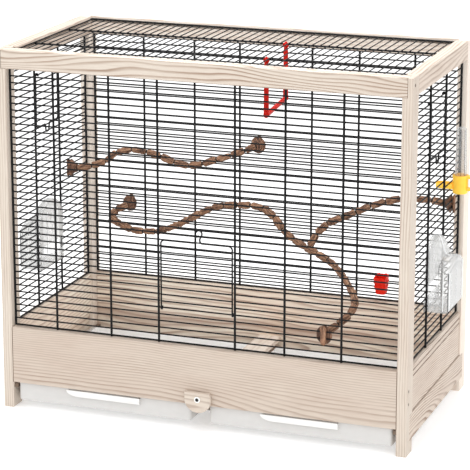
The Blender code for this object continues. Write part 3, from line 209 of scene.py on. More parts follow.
def wood(name, axis, tones, ring, heart, bend=None, waver=0.006, lines=0.75, crowd=0.0, stain=None):
    """Pine whose growth rings lie about a heart line along its grain.

    heart is where that line lies across the grain, on either side of the cage. bend = (first, last, shift)
    moves its first coordinate by shift between two places along the grain, which draws the rings into long
    arches on a face. crowd draws the rings closer together and fainter, the further they are from the heart.
    stain = (height, half width, strength) is a redder band of heartwood along the board.
    """
    finish = Finish(name, Roughness=0.62)
    early, late, warm = tones
    place = finish.place()
    slow, quick, fine = grain_places(finish, axis, place)
    drift, wobble = finish.noise(slow, detail=1.0), finish.noise(quick)
    fibre = finish.noise(fine)
    split = finish.add("ShaderNodeSeparateXYZ", {0: place}).outputs
    along, side, up = (split[number] for number in AXES[axis])
    radius = heart_distance(finish, along, side, up, heart, bend)
    for rough, size in ((drift, 4 * waver), (wobble, RING_WOBBLE)):
        radius = finish.calc("MULTIPLY_ADD", finish.calc("SUBTRACT", rough, 0.5), size, radius)
    line = growth_lines(finish, radius, ring, crowd)
    fade = finish.spread(finish.noise(slow, 2.3, 3.0), 0.35, 0.65, 0.45, 1.0)
    line = finish.calc("MULTIPLY", line, finish.calc("MULTIPLY", fade, lines))
    base = finish.mix(finish.spread(finish.noise(slow, 1.7, 3.0), 0.42, 0.68, 0, 0.55), early, warm)
    base = finish.mix(finish.spread(fibre, 0.40, 0.75, 0, 0.22), base, late)
    toned = finish.mix(line, base, late)
    finish.colour(stained(finish, toned, up, drift, *stain) if stain else toned)
    finish.roughness(fibre, 0.52, 0.72)
    finish.bump(finish.calc("MULTIPLY_ADD", fibre, 0.7, line), 0.25, 0.0004)
    return finish.material


def grain_places(finish, axis, place):
    """The place stretched along the grain, for slow, quick and fine unevenness."""
    found = []
    for lengthwise, across in (SLOW, QUICK, FINE):
        scale = [across] * 3
        scale[AXES[axis][0]] = lengthwise
        found.append(finish.stretch(place, scale))
    return found


def heart_distance(finish, along, side, up, heart, bend):
    """Distance from the heart line, which is mirrored from one side of the cage to the other."""
    first = finish.calc("SUBTRACT", finish.calc("ABSOLUTE", side), heart[0])
    if bend:
        start, end, shift = bend
        first = finish.calc("SUBTRACT", first, finish.spread(along, start, end, 0, shift, True))
    second = finish.calc("SUBTRACT", up, heart[1])
    squares = finish.calc("MULTIPLY_ADD", first, first, finish.calc("MULTIPLY", second, second))
    return finish.calc("SQRT", squares)


def growth_lines(finish, radius, ring, crowd):
    """Late wood: a line that darkens slowly outwards in each ring and ends sharply."""
    rings = finish.calc("DIVIDE", radius, ring)
    if crowd:
        rings = finish.calc("MULTIPLY", rings, finish.calc("MULTIPLY_ADD", radius, crowd, 1.0))
    phase = finish.calc("FRACT", rings)
    rise = finish.spread(phase, 0.40, 0.84, 0, 1, True)
    line = finish.calc("MULTIPLY", rise, finish.spread(phase, 0.90, 1.0, 1, 0))
    if crowd:
        line = finish.calc("MULTIPLY", line, finish.spread(radius, 0.040, 0.105, 1.0, 0.70))
    return line


def stained(finish, toned, up, drift, middle, half, strength):
    """The wood's colour with a soft, uneven band of heartwood over it."""
    level = finish.calc("MULTIPLY_ADD", finish.calc("SUBTRACT", drift, 0.5), STAIN_DRIFT, up)
    away = finish.calc("ABSOLUTE", finish.calc("SUBTRACT", level, middle))
    return finish.mix(finish.spread(away, 0.2 * half, half, strength, 0, True), toned, HEARTWOOD)


def satin_wire():
    finish = Finish("black_wire_satin", Roughness=0.5, Specular_IOR_Level=0.16)
    spots = finish.noise(finish.place(), 260.0, 3.0)
    shade = finish.spread(spots, 0.35, 0.7)
    finish.colour(finish.mix(shade, (0.0040, 0.0040, 0.0045), (0.0100, 0.0100, 0.0110)))
    finish.roughness(spots, 0.42, 0.60)
    finish.bump(spots, 0.10, 0.0002)
    return finish.material


def bark(name, dark, middle, light):
    """Bark whose cracks run along the branch, in the straightened coordinates that the mesh carries."""
    finish = Finish(name, Roughness=0.85)
    grain = finish.grain_attribute()
    crack = finish.noise(finish.stretch(grain, (400, 400, 60)), 1.0, 4.0, 0.65)
    patch = finish.noise(finish.stretch(grain, (130, 130, 42)), 1.0, 3.0)
    speck = finish.noise(finish.stretch(grain, (900, 900, 420)))
    base = finish.mix(finish.spread(patch, 0.38, 0.62), dark, middle)
    base = finish.mix(finish.spread(crack, 0.50, 0.68, 0, 0.9), base, light)
    base = finish.mix(finish.spread(crack, 0.47, 0.38, 0, 1.0), base, (0.022, 0.010, 0.006))
    finish.colour(finish.mix(finish.spread(speck, 0.5, 0.8, 0, 0.35), base, light))
    finish.roughness(crack, 0.7, 0.95)
    finish.bump(finish.calc("MULTIPLY_ADD", patch, 0.6, crack), 0.9, 0.0016)
    return finish.material


def plastic(name, main, deep, roughness, **values):
    """Moulded plastic with a faint unevenness in its colour, gloss and surface."""
    finish = Finish(name, **values)
    place = finish.place()
    cloud, grain = finish.noise(place, 45.0), finish.noise(place, 1400.0)
    finish.colour(finish.mix(finish.spread(cloud, 0.3, 0.75, 0, 0.6), main, deep))
    finish.roughness(grain, *roughness)
    finish.bump(finish.calc("MULTIPLY_ADD", grain, 0.15, cloud), 0.12, 0.0006)
    return finish.material


def clear_plastic(name, faint, dense, light):
    """Clear plastic: faint where it faces the view, denser where it turns away, and greyer there as painted
    edge shade.
    """
    finish = Finish(name, Specular_IOR_Level=0.6)
    cloud = finish.noise(finish.place(), 60.0, 1.0)
    turned = finish.add("ShaderNodeLayerWeight", {"Blend": 0.35}).outputs["Facing"]
    finish.feed(finish.shader.inputs["Alpha"], finish.spread(turned, 0.15, 0.95, faint, dense))
    # Painted shade: the colour turns grey where the surface turns away from the view
    finish.colour(finish.mix(finish.spread(turned, 0.5, 1.0), light, (0.24, 0.25, 0.26)))
    finish.roughness(cloud, 0.04, 0.12)
    finish.bump(cloud, 0.10, 0.0008)
    return finish.material


PANEL_HEART = (-FRONT - 0.024, 0.036)
ARCHES = (-0.20, 0.42, -0.034)
RAIL_HEART, RAIL_ARCHES = (-FRONT + 0.012, 0.652), (-0.3, 0.5, -0.02)
POST_HEART = (0.30, -0.33)
BOARD_HEART, BOARD_ARCHES = (0.445, 0.02), (-0.15, 0.2, 0.02)
INSIDE_HEART, INSIDE_ARCHES = (REAR + 0.02, 0.02), (-0.3, 0.35, 0.03)
INSIDE_STAIN = (0.081, 0.017, 0.45)
FLANK_HEART = (0.42, 0.03)
WOODS = {
    key: wood("pine_" + key, *values)
    for key, values in {
        "panel": ("X", PANEL_TONES, 0.0084, PANEL_HEART, ARCHES, 0.0045, 0.72, 4.5),
        "rail_front": ("X", WASHED, 0.0070, RAIL_HEART, RAIL_ARCHES, 0.026, 1.0),
        "rail": ("X", WASHED_LIT_INSIDE, 0.0055, (REAR + 0.02, 0.652), None, 0.010, 0.8),
        "rail_side": ("Y", WASHED_SHADED_SIDE, 0.0052, (0.44, 0.655), None, 0.008, 0.8),
        "post": ("Z", WASHED, 0.0031, POST_HEART, None, 0.0022, 0.60),
        "post_inner": ("Z", WASHED_LIT_INSIDE, 0.0040, POST_HEART, None, 0.0022, 0.60),
        "board": ("Y", WASHED_SHADED_SIDE, 0.0036, BOARD_HEART, BOARD_ARCHES, 0.007, 1.0),
        "inside": ("X", PLAIN_LIT, 0.0085, INSIDE_HEART, INSIDE_ARCHES, 0.012, 0.85, 0.0, INSIDE_STAIN),
        "inside_side": ("Y", PLAIN_LIT, 0.0075, FLANK_HEART, None, 0.012, 0.75),
        "runner": ("Y", WASHED_LIT_INSIDE, 0.0120, (0.05, 0.03), None, 0.006, 0.45),
        "button": ("X", WASHED, 0.0045, (-FRONT + 0.03, 0.05), None, 0.004, 0.5),
        "shaded": ("Y", SHADED, 0.0060, FLANK_HEART, None, 0.008, 0.5),
    }.items()
}
MATT = {"Specular_IOR_Level": 0.12}
# Painted light: the yellow plastic glows faintly orange, though it is no lamp
PAINTED_GLOW = {"Specular_IOR_Level": 0.3, "Emission_Color": (1.0, 0.50, 0.04, 1.0), "Emission_Strength": 0.16}
WIRE = satin_wire()
DARK_STEEL = plastic(
    "dark_steel", (0.030, 0.026, 0.022), (0.014, 0.012, 0.010), (0.4, 0.6), Specular_IOR_Level=0.2
)
# Painted shade: the dark of a screw's cross recess
RECESS_SHADE = plastic("recess_shade", (0.012, 0.012, 0.012), (0.02, 0.02, 0.02), (0.7, 0.9))
BARK = bark("bark_branch", (0.125, 0.054, 0.030), (0.280, 0.136, 0.075), (0.540, 0.325, 0.200))
BARK_DARK = bark("bark_knob", (0.080, 0.034, 0.020), (0.190, 0.090, 0.052), (0.400, 0.225, 0.140))
BARK_END = bark("bark_end", (0.190, 0.092, 0.052), (0.400, 0.225, 0.135), (0.640, 0.430, 0.290))
# Painted shade: a near-black core that shows only in the gaps between a branch's logs
CORE_SHADE = plastic("branch_core_shade", (0.030, 0.016, 0.010), (0.015, 0.010, 0.008), (0.8, 0.95))
RED = plastic("red_moulded", (0.960, 0.030, 0.010), (0.760, 0.012, 0.005), (0.40, 0.55), **MATT)
RED_DEEP = plastic("red_swing", (0.560, 0.012, 0.006), (0.440, 0.008, 0.004), (0.40, 0.55), **MATT)
YELLOW = plastic("yellow_moulded", (0.990, 0.660, 0.085), (0.970, 0.560, 0.050), (0.30, 0.44), **PAINTED_GLOW)
# Painted shade: a deeper orange copy of the yellow plastic for the inside of the drinker's cup
ORANGE_SHADE = plastic("orange_inner_shade", (0.900, 0.430, 0.030), (0.800, 0.330, 0.020), (0.3, 0.5))
WHITE = plastic("white_washer_plastic", (0.95, 0.95, 0.93), (0.90, 0.90, 0.88), (0.35, 0.5))
TRAY = plastic("tray_plastic", (0.630, 0.620, 0.606), (0.590, 0.580, 0.566), (0.34, 0.50))
GRIP = plastic("tray_grip_plastic", (0.820, 0.815, 0.800), (0.780, 0.775, 0.760), (0.30, 0.45))
# Painted light: a lighter copy of the tray plastic for the tray's inside, against the shade in the cage
TRAY_FLOOR_LIT = plastic("tray_floor_lit_plastic", (0.960, 0.960, 0.955), (0.930, 0.930, 0.925), (0.34, 0.50))
CLEAR = clear_plastic("clear_tube", 0.09, 0.70, (0.80, 0.81, 0.81))
CLEAR_BOX = clear_plastic("clear_feeder", 0.18, 0.80, (0.78, 0.78, 0.77))
# Painted shade: dark lines that draw the edges of the clear plastics
EDGE_SHADE = plastic("clear_edge_shade", (0.16, 0.165, 0.17), (0.10, 0.105, 0.11), (0.08, 0.18), Alpha=0.85)
# Painted highlight: white lines that draw glints on the clear plastics
GLINT = plastic("clear_glint", (0.96, 0.97, 0.97), (0.88, 0.89, 0.90), (0.05, 0.12))


# Modelling helpers

LEAST_RADIUS, PLATE_EDGE = 0.00001, 0.0005


def put_tube(shape, points, radius, sides=WIRE_SIDES, cyclic=False, material=0):
    """Adds a round tube along a row of points."""
    points = [Vector(point) for point in points]
    count = len(points)
    loops, across = [], None
    for number, point in enumerate(points):
        before = points[number - 1] if number or cyclic else point
        after = points[(number + 1) % count] if number < count - 1 or cyclic else point
        way = (after - before).normalized()
        across = across - way * across.dot(way) if across else way.orthogonal()
        across.normalize()
        over = way.cross(across)
        ring = [across * x + over * y for x, y in circle(1, sides)]
        loops.append([shape.verts.new(point + radius * reach) for reach in ring])
    faces = bridge(shape, loops, cyclic)
    if not cyclic:
        faces += [shape.faces.new(loops[0]), shape.faces.new(loops[-1])]
    paint(faces, material)


def circle(radius, sides):
    """Evenly spaced points round a circle, as pairs."""
    angles = [math.tau * step / sides for step in range(sides)]
    return [(radius * math.cos(angle), radius * math.sin(angle)) for angle in angles]


def paint(faces, material):
    for face in faces:
        face.material_index = material


def bridge(shape, loops, cyclic=False):
    """Joins loops of as many corners with quads."""
    faces = []
    for first, second in zip(loops, loops[1:] + loops[:1] if cyclic else loops[1:]):
        count = len(first)
        for number in range(count):
            after = (number + 1) % count
            faces.append(shape.faces.new((first[number], first[after], second[after], second[number])))
    return faces


def put_loft(shape, sections, material=0):
    """Adds a solid through sections of as many points, closed at both ends."""
    loops = [[shape.verts.new(point) for point in section] for section in sections]
    paint([*bridge(shape, loops), shape.faces.new(loops[0]), shape.faces.new(loops[-1])], material)
    return loops


def put_lathe(shape, profile, sides, place, material=0):
    """Adds a solid of revolution from (radius, height) pairs, turned about the Z axis of place."""
    sections = []
    for radius, height in profile:
        ring = circle(max(radius, LEAST_RADIUS), sides)
        sections.append([place @ Vector((x, y, height)) for x, y in ring])
    return put_loft(shape, sections, material)


def put_block(shape, xs, ys, zs, edge=0.0, segments=2, material=0):
    """Adds a box with rounded edges from its two ends along X, Y and Z, in either order."""
    low, high = (Vector(corner) for corner in zip(*(sorted(ends) for ends in (xs, ys, zs))))
    part = bmesh.new()
    size = Matrix.Diagonal((*(high - low), 1))
    bmesh.ops.create_cube(part, size=1, matrix=Matrix.Translation((low + high) / 2) @ size)
    if edge:
        ease(part, edge, segments)
    merge(shape, part, material)


def put_plate(shape, outline, ys, material=0):
    """Adds an upright plate with eased edges, from (X, Z) pairs and its two faces' places in Y."""
    part = bmesh.new()
    put_loft(part, [[(x, y, z) for x, z in outline] for y in ys])
    bmesh.ops.recalc_face_normals(part, faces=part.faces)
    ease(part, PLATE_EDGE, 2)
    merge(shape, part, material)


def ease(part, edge, segments):
    """Rounds every edge."""
    bmesh.ops.bevel(part, geom=part.edges[:], offset=edge, segments=segments, profile=0.5, affect="EDGES")


def merge(shape, part, material=0):
    paint(part.faces, material)
    mesh = bpy.data.meshes.new("part")
    part.to_mesh(mesh)
    part.free()
    shape.from_mesh(mesh)
    bpy.data.meshes.remove(mesh)


def upright(place, direction):
    """A place whose Z axis points in a direction."""
    turn = Vector(direction).to_track_quat("Z", "Y").to_matrix().to_4x4()
    return Matrix.Translation(Vector(place)) @ turn


def add_object(name, data):
    made = bpy.data.objects.new(name, data)
    bpy.context.scene.collection.objects.link(made)
    return made


def dress(name, shape, materials, body="cage", replaces=()):
    """Turns a bmesh into a piece that rides on a body, with smooth faces and sharp corners."""
    bmesh.ops.recalc_face_normals(shape, faces=shape.faces)
    mesh = bpy.data.meshes.new(name)
    shape.to_mesh(mesh)
    shape.free()
    for material in materials:
        mesh.materials.append(material)
    mesh.shade_smooth()
    mesh.set_sharp_from_angle(angle=SMOOTH_ANGLE)
    piece = add_object(name, mesh)
    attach(piece, body)
    if replaces:
        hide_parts(*replaces)
    return piece


def arc(centre, radius, start, sweep, steps):
    angles = [start + sweep * number / steps for number in range(steps + 1)]
    return [(centre[0] + radius * math.cos(angle), centre[1] + radius * math.sin(angle)) for angle in angles]


def smooth_route(points, samples):
    """A smooth curve through points, sampled finely."""
    places = [Vector(point) for point in points]
    places = [2 * places[0] - places[1], *places, 2 * places[-1] - places[-2]]
    found = []
    for before, start, end, after in zip(places, places[1:], places[2:], places[3:]):
        for number in range(samples):
            t = number / samples
            bend = (end - before) * t
            bend += (2 * before - 5 * start + 4 * end - after) * t**2
            bend += (3 * start - before - 3 * end + after) * t**3
            found.append(start + bend / 2)
    found.append(places[-2])
    return found


# Wood

PLANK_EDGE = 0.0012
BOARD_OUTER, BOARD_INNER, BOARD_EDGE = HALF - 0.003, HALF - 0.015, 0.0009
BEAD_DROP, BEAD_PITCH, BEAD_HEIGHT, BEAD_DEPTH = 0.0095, 0.0105, 0.0032, 0.0017
BEADS = 2
LINE_HALF, LINE_DEPTH, LINE_PROUD, LINE_EDGE, LINE_SHORT = 0.0005, 0.0010, 0.0001, 0.0002, 0.001
SPLIT_OUT, GROOVE_OUT = (HALF - 0.0050, HALF - 0.0028), (HALF - 0.0051, HALF - 0.0034)
SPLIT_UP = (BOARD_SPLIT - 0.0002, BOARD_SPLIT + 0.0012)


def repaint(key, *names):
    for name in names:
        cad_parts[name].material_slots[0].material = WOODS[key]


def board(name, grained, bare, inward):
    """A plank with rounded edges whose face towards the inside is plain pine."""
    shape = bmesh.new()
    put_block(shape, *zip(*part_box(name)), PLANK_EDGE, 3)
    for face in shape.faces:
        face.normal_update()
        if face.normal.dot(Vector(inward)) > 0.9:
            face.material_index = 1
    dress("board_" + name, shape, (WOODS[grained], WOODS[bare]), replaces=[name])


def bead_middle(number):
    return PANEL_TOP - BEAD_DROP - number * BEAD_PITCH - BEAD_HEIGHT / 2


def bead_groove(number):
    """A round-bottomed groove in a board's outer face, as (X, Z) from its lower lip to its upper one."""
    half, middle = BEAD_HEIGHT / 2, bead_middle(number)
    wave = arc((0, 0), 1, -math.pi / 2, math.pi, 6)
    return [(BOARD_OUTER - BEAD_DEPTH * across, middle + half * rise) for across, rise in wave]


def beaded_board(name, side):
    """The upper side board, with its two bead grooves near the top."""
    low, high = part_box(name)
    inner, outer, edge = BOARD_INNER, BOARD_OUTER, BOARD_EDGE
    profile = [(inner, low.z + edge), (inner + edge, low.z), (outer - edge, low.z), (outer, low.z + edge)]
    for number in reversed(range(BEADS)):
        profile += bead_groove(number)
    profile += [(outer, high.z - 2 * edge), (outer - edge * 0.6, high.z - edge * 0.6)]
    profile += [(outer - 2 * edge, high.z), (inner + edge, high.z), (inner, high.z - edge)]
    shape = bmesh.new()
    put_loft(shape, [[(side * x, y, z) for x, z in profile] for y in (low.y, high.y)])
    for face in shape.faces:
        face.normal_update()
        if abs(face.normal.x) > 0.9 and abs(face.calc_center_median().x) < inner + edge / 2:
            face.material_index = 1
    dress("beaded_" + name, shape, (WOODS["board"], WOODS["inside_side"]), replaces=[name])


def joint_shade_lines():
    """Painted shade: dark slivers in the front's joints, at the side boards' joint and down in their
    grooves.
    """
    shape = bmesh.new()
    ys = FRONT - LINE_PROUD, FRONT - LINE_PROUD + LINE_DEPTH
    board_ys = POST_FRONT + LINE_SHORT, POST_REAR - LINE_SHORT
    rail_line = INNER_HALF + 0.010, (RAIL_BOTTOM, HEIGHT - 0.0008)
    panel_line = INNER_HALF, (PANEL_BOTTOM, PANEL_TOP - LINE_SHORT)
    for side in SIDES.values():
        for x, zs in (rail_line, panel_line):
            put_block(shape, (side * x - LINE_HALF, side * x + LINE_HALF), ys, zs, LINE_EDGE, 1)
        put_block(shape, [side * x for x in SPLIT_OUT], board_ys, SPLIT_UP, LINE_EDGE, 1)
        for number in range(BEADS):
            zs = bead_middle(number) - 2 * LINE_HALF, bead_middle(number) + 2 * LINE_HALF
            put_block(shape, [side * x for x in GROOVE_OUT], board_ys, zs)
    dress("joint_shade_lines", shape, [WOODS["shaded"]])


def woodwork():
    joint_shade_lines()
    repaint("post", "post_front_left", "post_front_right")
    # The rear posts take the lighter inside copy of the pine: painted light
    repaint("post_inner", "post_rear_left", "post_rear_right")
    repaint("rail_front", "top_rail_front")
    repaint("rail", "top_rail_rear")
    repaint("rail_side", "top_rail_left", "top_rail_right")
    repaint("runner", "runner_ledge", "runner_web", "runner_cap")
    # The outer runners take the dark pine: painted shade on their ends under the panels
    repaint("shaded", "runner_left", "runner_right")
    board("front_panel", "panel", "inside", (0, 1, 0))
    board("rear_panel", "panel", "inside", (0, -1, 0))
    for name, side in SIDES.items():
        beaded_board("side_board_upper_" + name, side)
        board("side_board_lower_" + name, "board", "inside_side", (-side, 0, 0))


# Wires

EDGE_WELD, DOOR_WELD = 1.2 * WELD_RADIUS, 1.1 * WELD_RADIUS


def put_weld(shape, centre, radius=WELD_RADIUS):
    """Adds the bead of metal where two wires are welded."""
    bmesh.ops.create_icosphere(shape, subdivisions=1, radius=radius, matrix=Matrix.Translation(centre))


def stretches(start, end, spans):
    """What is left of a row between its openings."""
    edges = [start, *(edge for span in spans for edge in span), end]
    return list(zip(edges[::2], edges[1::2]))


def wall_wires(name, ends, bars, openings, to_point):
    """A wall's round wires: a thick frame, thick bars across its front and a row at each pitch."""
    shape = bmesh.new()
    bottom, top = PANEL_TOP + GAP + THICK, RAIL_BOTTOM - GAP - THICK
    left, right = ends[0] + THICK, ends[1] - THICK
    weld_depth = ROW_BEHIND - THIN

    def wire(start, end, behind, radius):
        put_tube(shape, [to_point(along, behind, up) for along, up in (start, end)], radius)

    for edge in (left, right):
        wire((edge, bottom), (edge, top), ROW_BEHIND, BAR_LOOK)
    for edge in (bottom, top):
        wire((left, edge), (right, edge), ROW_BEHIND, EDGE_LOOK)
    for bar in bars:
        wire((bar, bottom - THICK), (bar, top + THICK), 0, BAR_LOOK)
        for edge in (bottom, top):
            put_weld(shape, to_point(bar, weld_depth, edge), EDGE_WELD)
    for row in range(ROWS):
        spans = [span for span, first, last in openings if first < row < last]
        for start, end in stretches(left, right, spans):
            wire((start, row_z(row)), (end, row_z(row)), ROW_BEHIND, ROW_LOOK)
        for bar in bars:
            put_weld(shape, to_point(bar, weld_depth, row_z(row)))
    dress("round_" + name, shape, [WIRE], replaces=[name])


def between(first, second):
    return first + THICK, second - THICK


def wall_grilles():
    posts = GAP - INNER_HALF, INNER_HALF - GAP
    front_door = (between(*DOOR_BARS), *FRONT_DOOR_ROWS)
    wall_wires("grille_front", posts, FRONT_BARS, [front_door], front_point)
    wall_wires("grille_rear", posts, FRONT_BARS, [], rear_point)
    posts = POST_FRONT + GAP, POST_REAR - GAP
    openings = [(between(*SIDE_BARS), *rows) for rows in (SIDE_DOOR_ROWS, FEEDER_ROWS)]
    for name, side in SIDES.items():
        wall_wires("grille_" + name, posts, SIDE_BARS, openings, side_point(side))


def roof_places():
    return [-ROOF_EDGE + 2 * ROOF_EDGE * number / ROOF_GAPS for number in range(ROOF_GAPS + 1)]


def roof_grille():
    """The roof's wires: thick ones along its edges and under its rows, and a row at each gap."""
    shape = bmesh.new()
    places = roof_places()
    bars = [(y, ROOF_Z) for y in (ROOF_NEAR, ROOF_FAR, ROOF_FAR - 2 * THICK)]
    bars += [(y, ROOF_BAR_Z) for y in ROOF_BARS]
    for y, z in bars:
        put_tube(shape, ((-ROOF_EDGE, y, z), (ROOF_EDGE, y, z)), ROOF_BAR_LOOK)
    for x in places:
        radius = ROOF_BAR_LOOK if x in (places[0], places[-1]) else ROOF_ROW_LOOK
        put_tube(shape, ((x, ROOF_NEAR, ROOF_Z), (x, ROOF_FAR, ROOF_Z)), radius)
    for y in ROOF_BARS:
        for x in places[1:-1]:
            put_weld(shape, (x, y, ROOF_Z - THIN))
    dress("round_grille_roof", shape, [WIRE], replaces=["grille_roof"])


# Doors of bent wire, with places as (along, up) from the middle of the hinge row

DOOR_SIDE_PLAY, DOOR_CORNER, DOOR_CORNER_STEPS = 0.0052, 0.007, 8
HOOK_SWEEP, HOOK_STEPS = math.radians(215), 14
CURL = (
    (0.0108, 0.0), (0.0082, 0.0018), (0.0070, 0.0050), (0.0071, 0.0090), (0.0090, 0.0128), (0.0108, 0.0165),
    (0.0110, 0.0200), (0.0092, 0.0232), (0.0058, 0.0249), (0.0022, 0.0240), (-0.0006, 0.0212),
    (-0.0021, 0.0172), (-0.0016, 0.0138), (0.0008, 0.0124), (0.0036, 0.0129), (0.0056, 0.0146),
)
CURL_BAR_END = -0.0045
DIP_HALF, DIP_DEPTH, DIP_ROUND = 0.009, 0.016, 0.002
DIP_FLOOR = DIP_HALF * 2 / 3


def hook(leg, direction):
    """The end of a leg, bent round a row of wire, as (along, out, up) from the row's axis."""
    bend = arc((0, 0), ROW_BEHIND, 0, HOOK_SWEEP, HOOK_STEPS)
    return [(leg, out, -direction * up) for out, up in bend]


def door_frame(half, height, feature_left, feature_right):
    """The left and the right half of a door's frame, each from its foot to the middle of its far bar."""
    corner = height - DOOR_CORNER
    left = arc((-half + DOOR_CORNER, corner), DOOR_CORNER, math.pi, -math.pi / 2, DOOR_CORNER_STEPS)
    right = arc((half - DOOR_CORNER, corner), DOOR_CORNER, 0, math.pi / 2, DOOR_CORNER_STEPS)
    return left + feature_left, right + feature_right


def wire_door(name, bars, rows, direction, features, to_point):
    """A door on the row at its foot (direction 1) or its top (-1), from its wall's bars beside it."""
    middle = sum(bars) / 2
    half = (bars[1] - bars[0]) / 2 - DOOR_SIDE_PLAY
    low, high = rows
    height = row_z(high) - row_z(low)
    hinge = row_z(low if direction == 1 else high)
    shape = bmesh.new()
    halves = door_frame(half, height, *features(height))
    for leg, outline in zip((-half, half), halves):
        path = [*reversed(hook(leg, direction))]
        path += [(along, ROW_BEHIND, direction * up) for along, up in outline]
        wire = [to_point(middle + along, ROW_BEHIND - out, hinge + up) for along, out, up in path]
        put_tube(shape, wire, DOOR_LOOK)
    for row in range(low + 1, high):
        ends = [to_point(middle + reach, 0, row_z(row)) for reach in (-half, half)]
        put_tube(shape, ends, ROW_LOOK)
        for end in ends:
            put_weld(shape, end, DOOR_WELD)
    dress("round_" + name, shape, [WIRE], name, [name])


def curl_features(height):
    """The finger curl of the front door: the right half of its far bar, curled up past its end."""
    points = [Vector((along, height + up, 0)) for along, up in CURL]
    return [(CURL_BAR_END, height)], [(point.x, point.y) for point in smooth_route(points, 4)]


def dip_features(height):
    """The finger dip of a side door: a rounded U bent into its far bar."""
    floor = height + DIP_DEPTH
    left = [
        (-DIP_HALF - DIP_ROUND, height), (-DIP_HALF, height + DIP_ROUND),
        (-DIP_FLOOR - 0.0006, floor - DIP_ROUND), (-DIP_FLOOR + DIP_ROUND, floor), (0, floor),
    ]
    return left, [(-along, up) for along, up in left]


def wire_doors():
    wire_door("front_door", DOOR_BARS, FRONT_DOOR_ROWS, 1, curl_features, front_point)
    for name, side in SIDES.items():
        wire_door("side_door_" + name, SIDE_BARS, SIDE_DOOR_ROWS, -1, dip_features, side_point(side))


# Trays, turn button and screws

TRAY_X = (0.0185, 0.3765)
TRAY_Y = (-0.19965, 0.17835)
TRAY_BOTTOM, TRAY_TOP = 0.015, 0.051
TRAY_CORNER, LEAST_CORNER = 0.006, 0.0006
TRAY_OUTSIDE = ((0.0040, 0), (0.0015, 0.0005), (0.0004, 0.0018), (0, 0.004))
TRAY_RIM = ((0, -0.0010), (0.0004, -0.0002), (0.0010, 0), (0.0016, -0.0002), (0.0020, -0.0010))
TRAY_INSIDE = ((0.0021, 0.006), (0.0028, 0.0032), (0.0048, 0.002))
INNER_FLANGE_Z, OUTER_FLANGE_Z, FLANGE_THICK = 0.0382, 0.0483, 0.0024
FLANGE_ROOT, FLANGE_REACH, FLANGE_SHORT = 0.001, 0.0065, 0.004
GRIP_HALF, GRIP_PROUD, GRIP_LOW, GRIP_TOP = 0.076, 0.0070, 0.0372, 0.0490
GRIP_CURVE, GRIP_THICK, GRIP_EDGE = 0.026, 0.002, 0.0004
BUTTON_Z = 0.0652
BUTTON_RADIUS, BUTTON_FLAT, BUTTON_THICK = 0.0265, 0.0135, 0.008
BUTTON_RELIEF = 0.0271
BUTTON_FACES = (
    (0.0010, 0), (0.0002, 0.0005), (0, 0.0014), (0, 0.0064), (0.0003, 0.0073), (0.0012, BUTTON_THICK),
)
WASHER = ((0.0020, 0), (0.0058, 0), (0.0060, 0.0003), (0.0059, 0.0008), (0.0053, 0.0012), (0.0022, 0.0012))
WASHER_THICK = 0.0012
SHANK, SHANK_LENGTH, HEAD_HEIGHT = 0.0016, 0.004, 0.0016
HEAD = ((0.96, 0), (1, 0.0003), (0.93, 0.0009), (0.72, 0.0014), (0.4, HEAD_HEIGHT))
FRAME_SCREWS = 8


def rounded_plan(low, high, corner, inset, divisions=10, steps=5):
    """A rounded rectangle as (X, Y), with points along its straight sides too."""
    radius = max(corner - inset, LEAST_CORNER)
    near, far = inset + radius, -inset - radius
    x0, y0, x1, y1 = low[0] + near, low[1] + near, high[0] + far, high[1] + far
    centres = ((x1, y0), (x1, y1), (x0, y1), (x0, y0))
    points = []
    for number, centre in enumerate(centres):
        angle = number * math.pi / 2
        points += arc(centre, radius, angle - math.pi / 2, math.pi / 2, steps)
        start = Vector(points[-1])
        end = Vector(centres[(number + 1) % 4]) + radius * Vector((math.cos(angle), math.sin(angle)))
        points += [tuple(start.lerp(end, share / divisions)) for share in range(1, divisions)]
    return points


def clear_of_button(x, y, z):
    """Lowers a point of a tray that would meet the turn button as the tray slides."""
    if abs(x) < BUTTON_RELIEF:
        z = min(z, BUTTON_Z - math.sqrt(BUTTON_RELIEF**2 - x**2))
    return x, y, z


def tray(name, side):
    """A shallow tray with rounded corners, flanges that ride on the runners and a finger grip."""
    low_x, high_x = sorted(side * x for x in TRAY_X)
    parts = (TRAY_BOTTOM, TRAY_OUTSIDE), (TRAY_TOP, TRAY_RIM), (TRAY_BOTTOM, TRAY_INSIDE)
    sections = []
    for base, profile in parts:
        for inset, up in profile:
            plan = rounded_plan((low_x, TRAY_Y[0]), (high_x, TRAY_Y[1]), TRAY_CORNER, inset)
            sections.append([clear_of_button(x, y, base + up) for x, y in plan])
    shape = bmesh.new()
    loops = put_loft(shape, sections)
    first_inside = len(TRAY_OUTSIDE + TRAY_RIM) - 1
    inner = {vertex for loop in loops[first_inside:] for vertex in loop}
    # The inner walls and floor take the lighter copy of the plastic: painted light
    paint([face for face in shape.faces if inner.issuperset(face.verts)], 2)
    ys = TRAY_Y[0] + FLANGE_SHORT, TRAY_Y[1] - FLANGE_SHORT
    for x, away, z in ((TRAY_X[0], -side, INNER_FLANGE_Z), (TRAY_X[1], side, OUTER_FLANGE_Z)):
        xs = side * x - away * FLANGE_ROOT, side * x + away * FLANGE_REACH
        put_block(shape, xs, ys, (z, z + FLANGE_THICK), 0.0007)
    put_grip(shape, (low_x + high_x) / 2)
    dress("moulded_" + name, shape, (TRAY, GRIP, TRAY_FLOOR_LIT), name, [name])


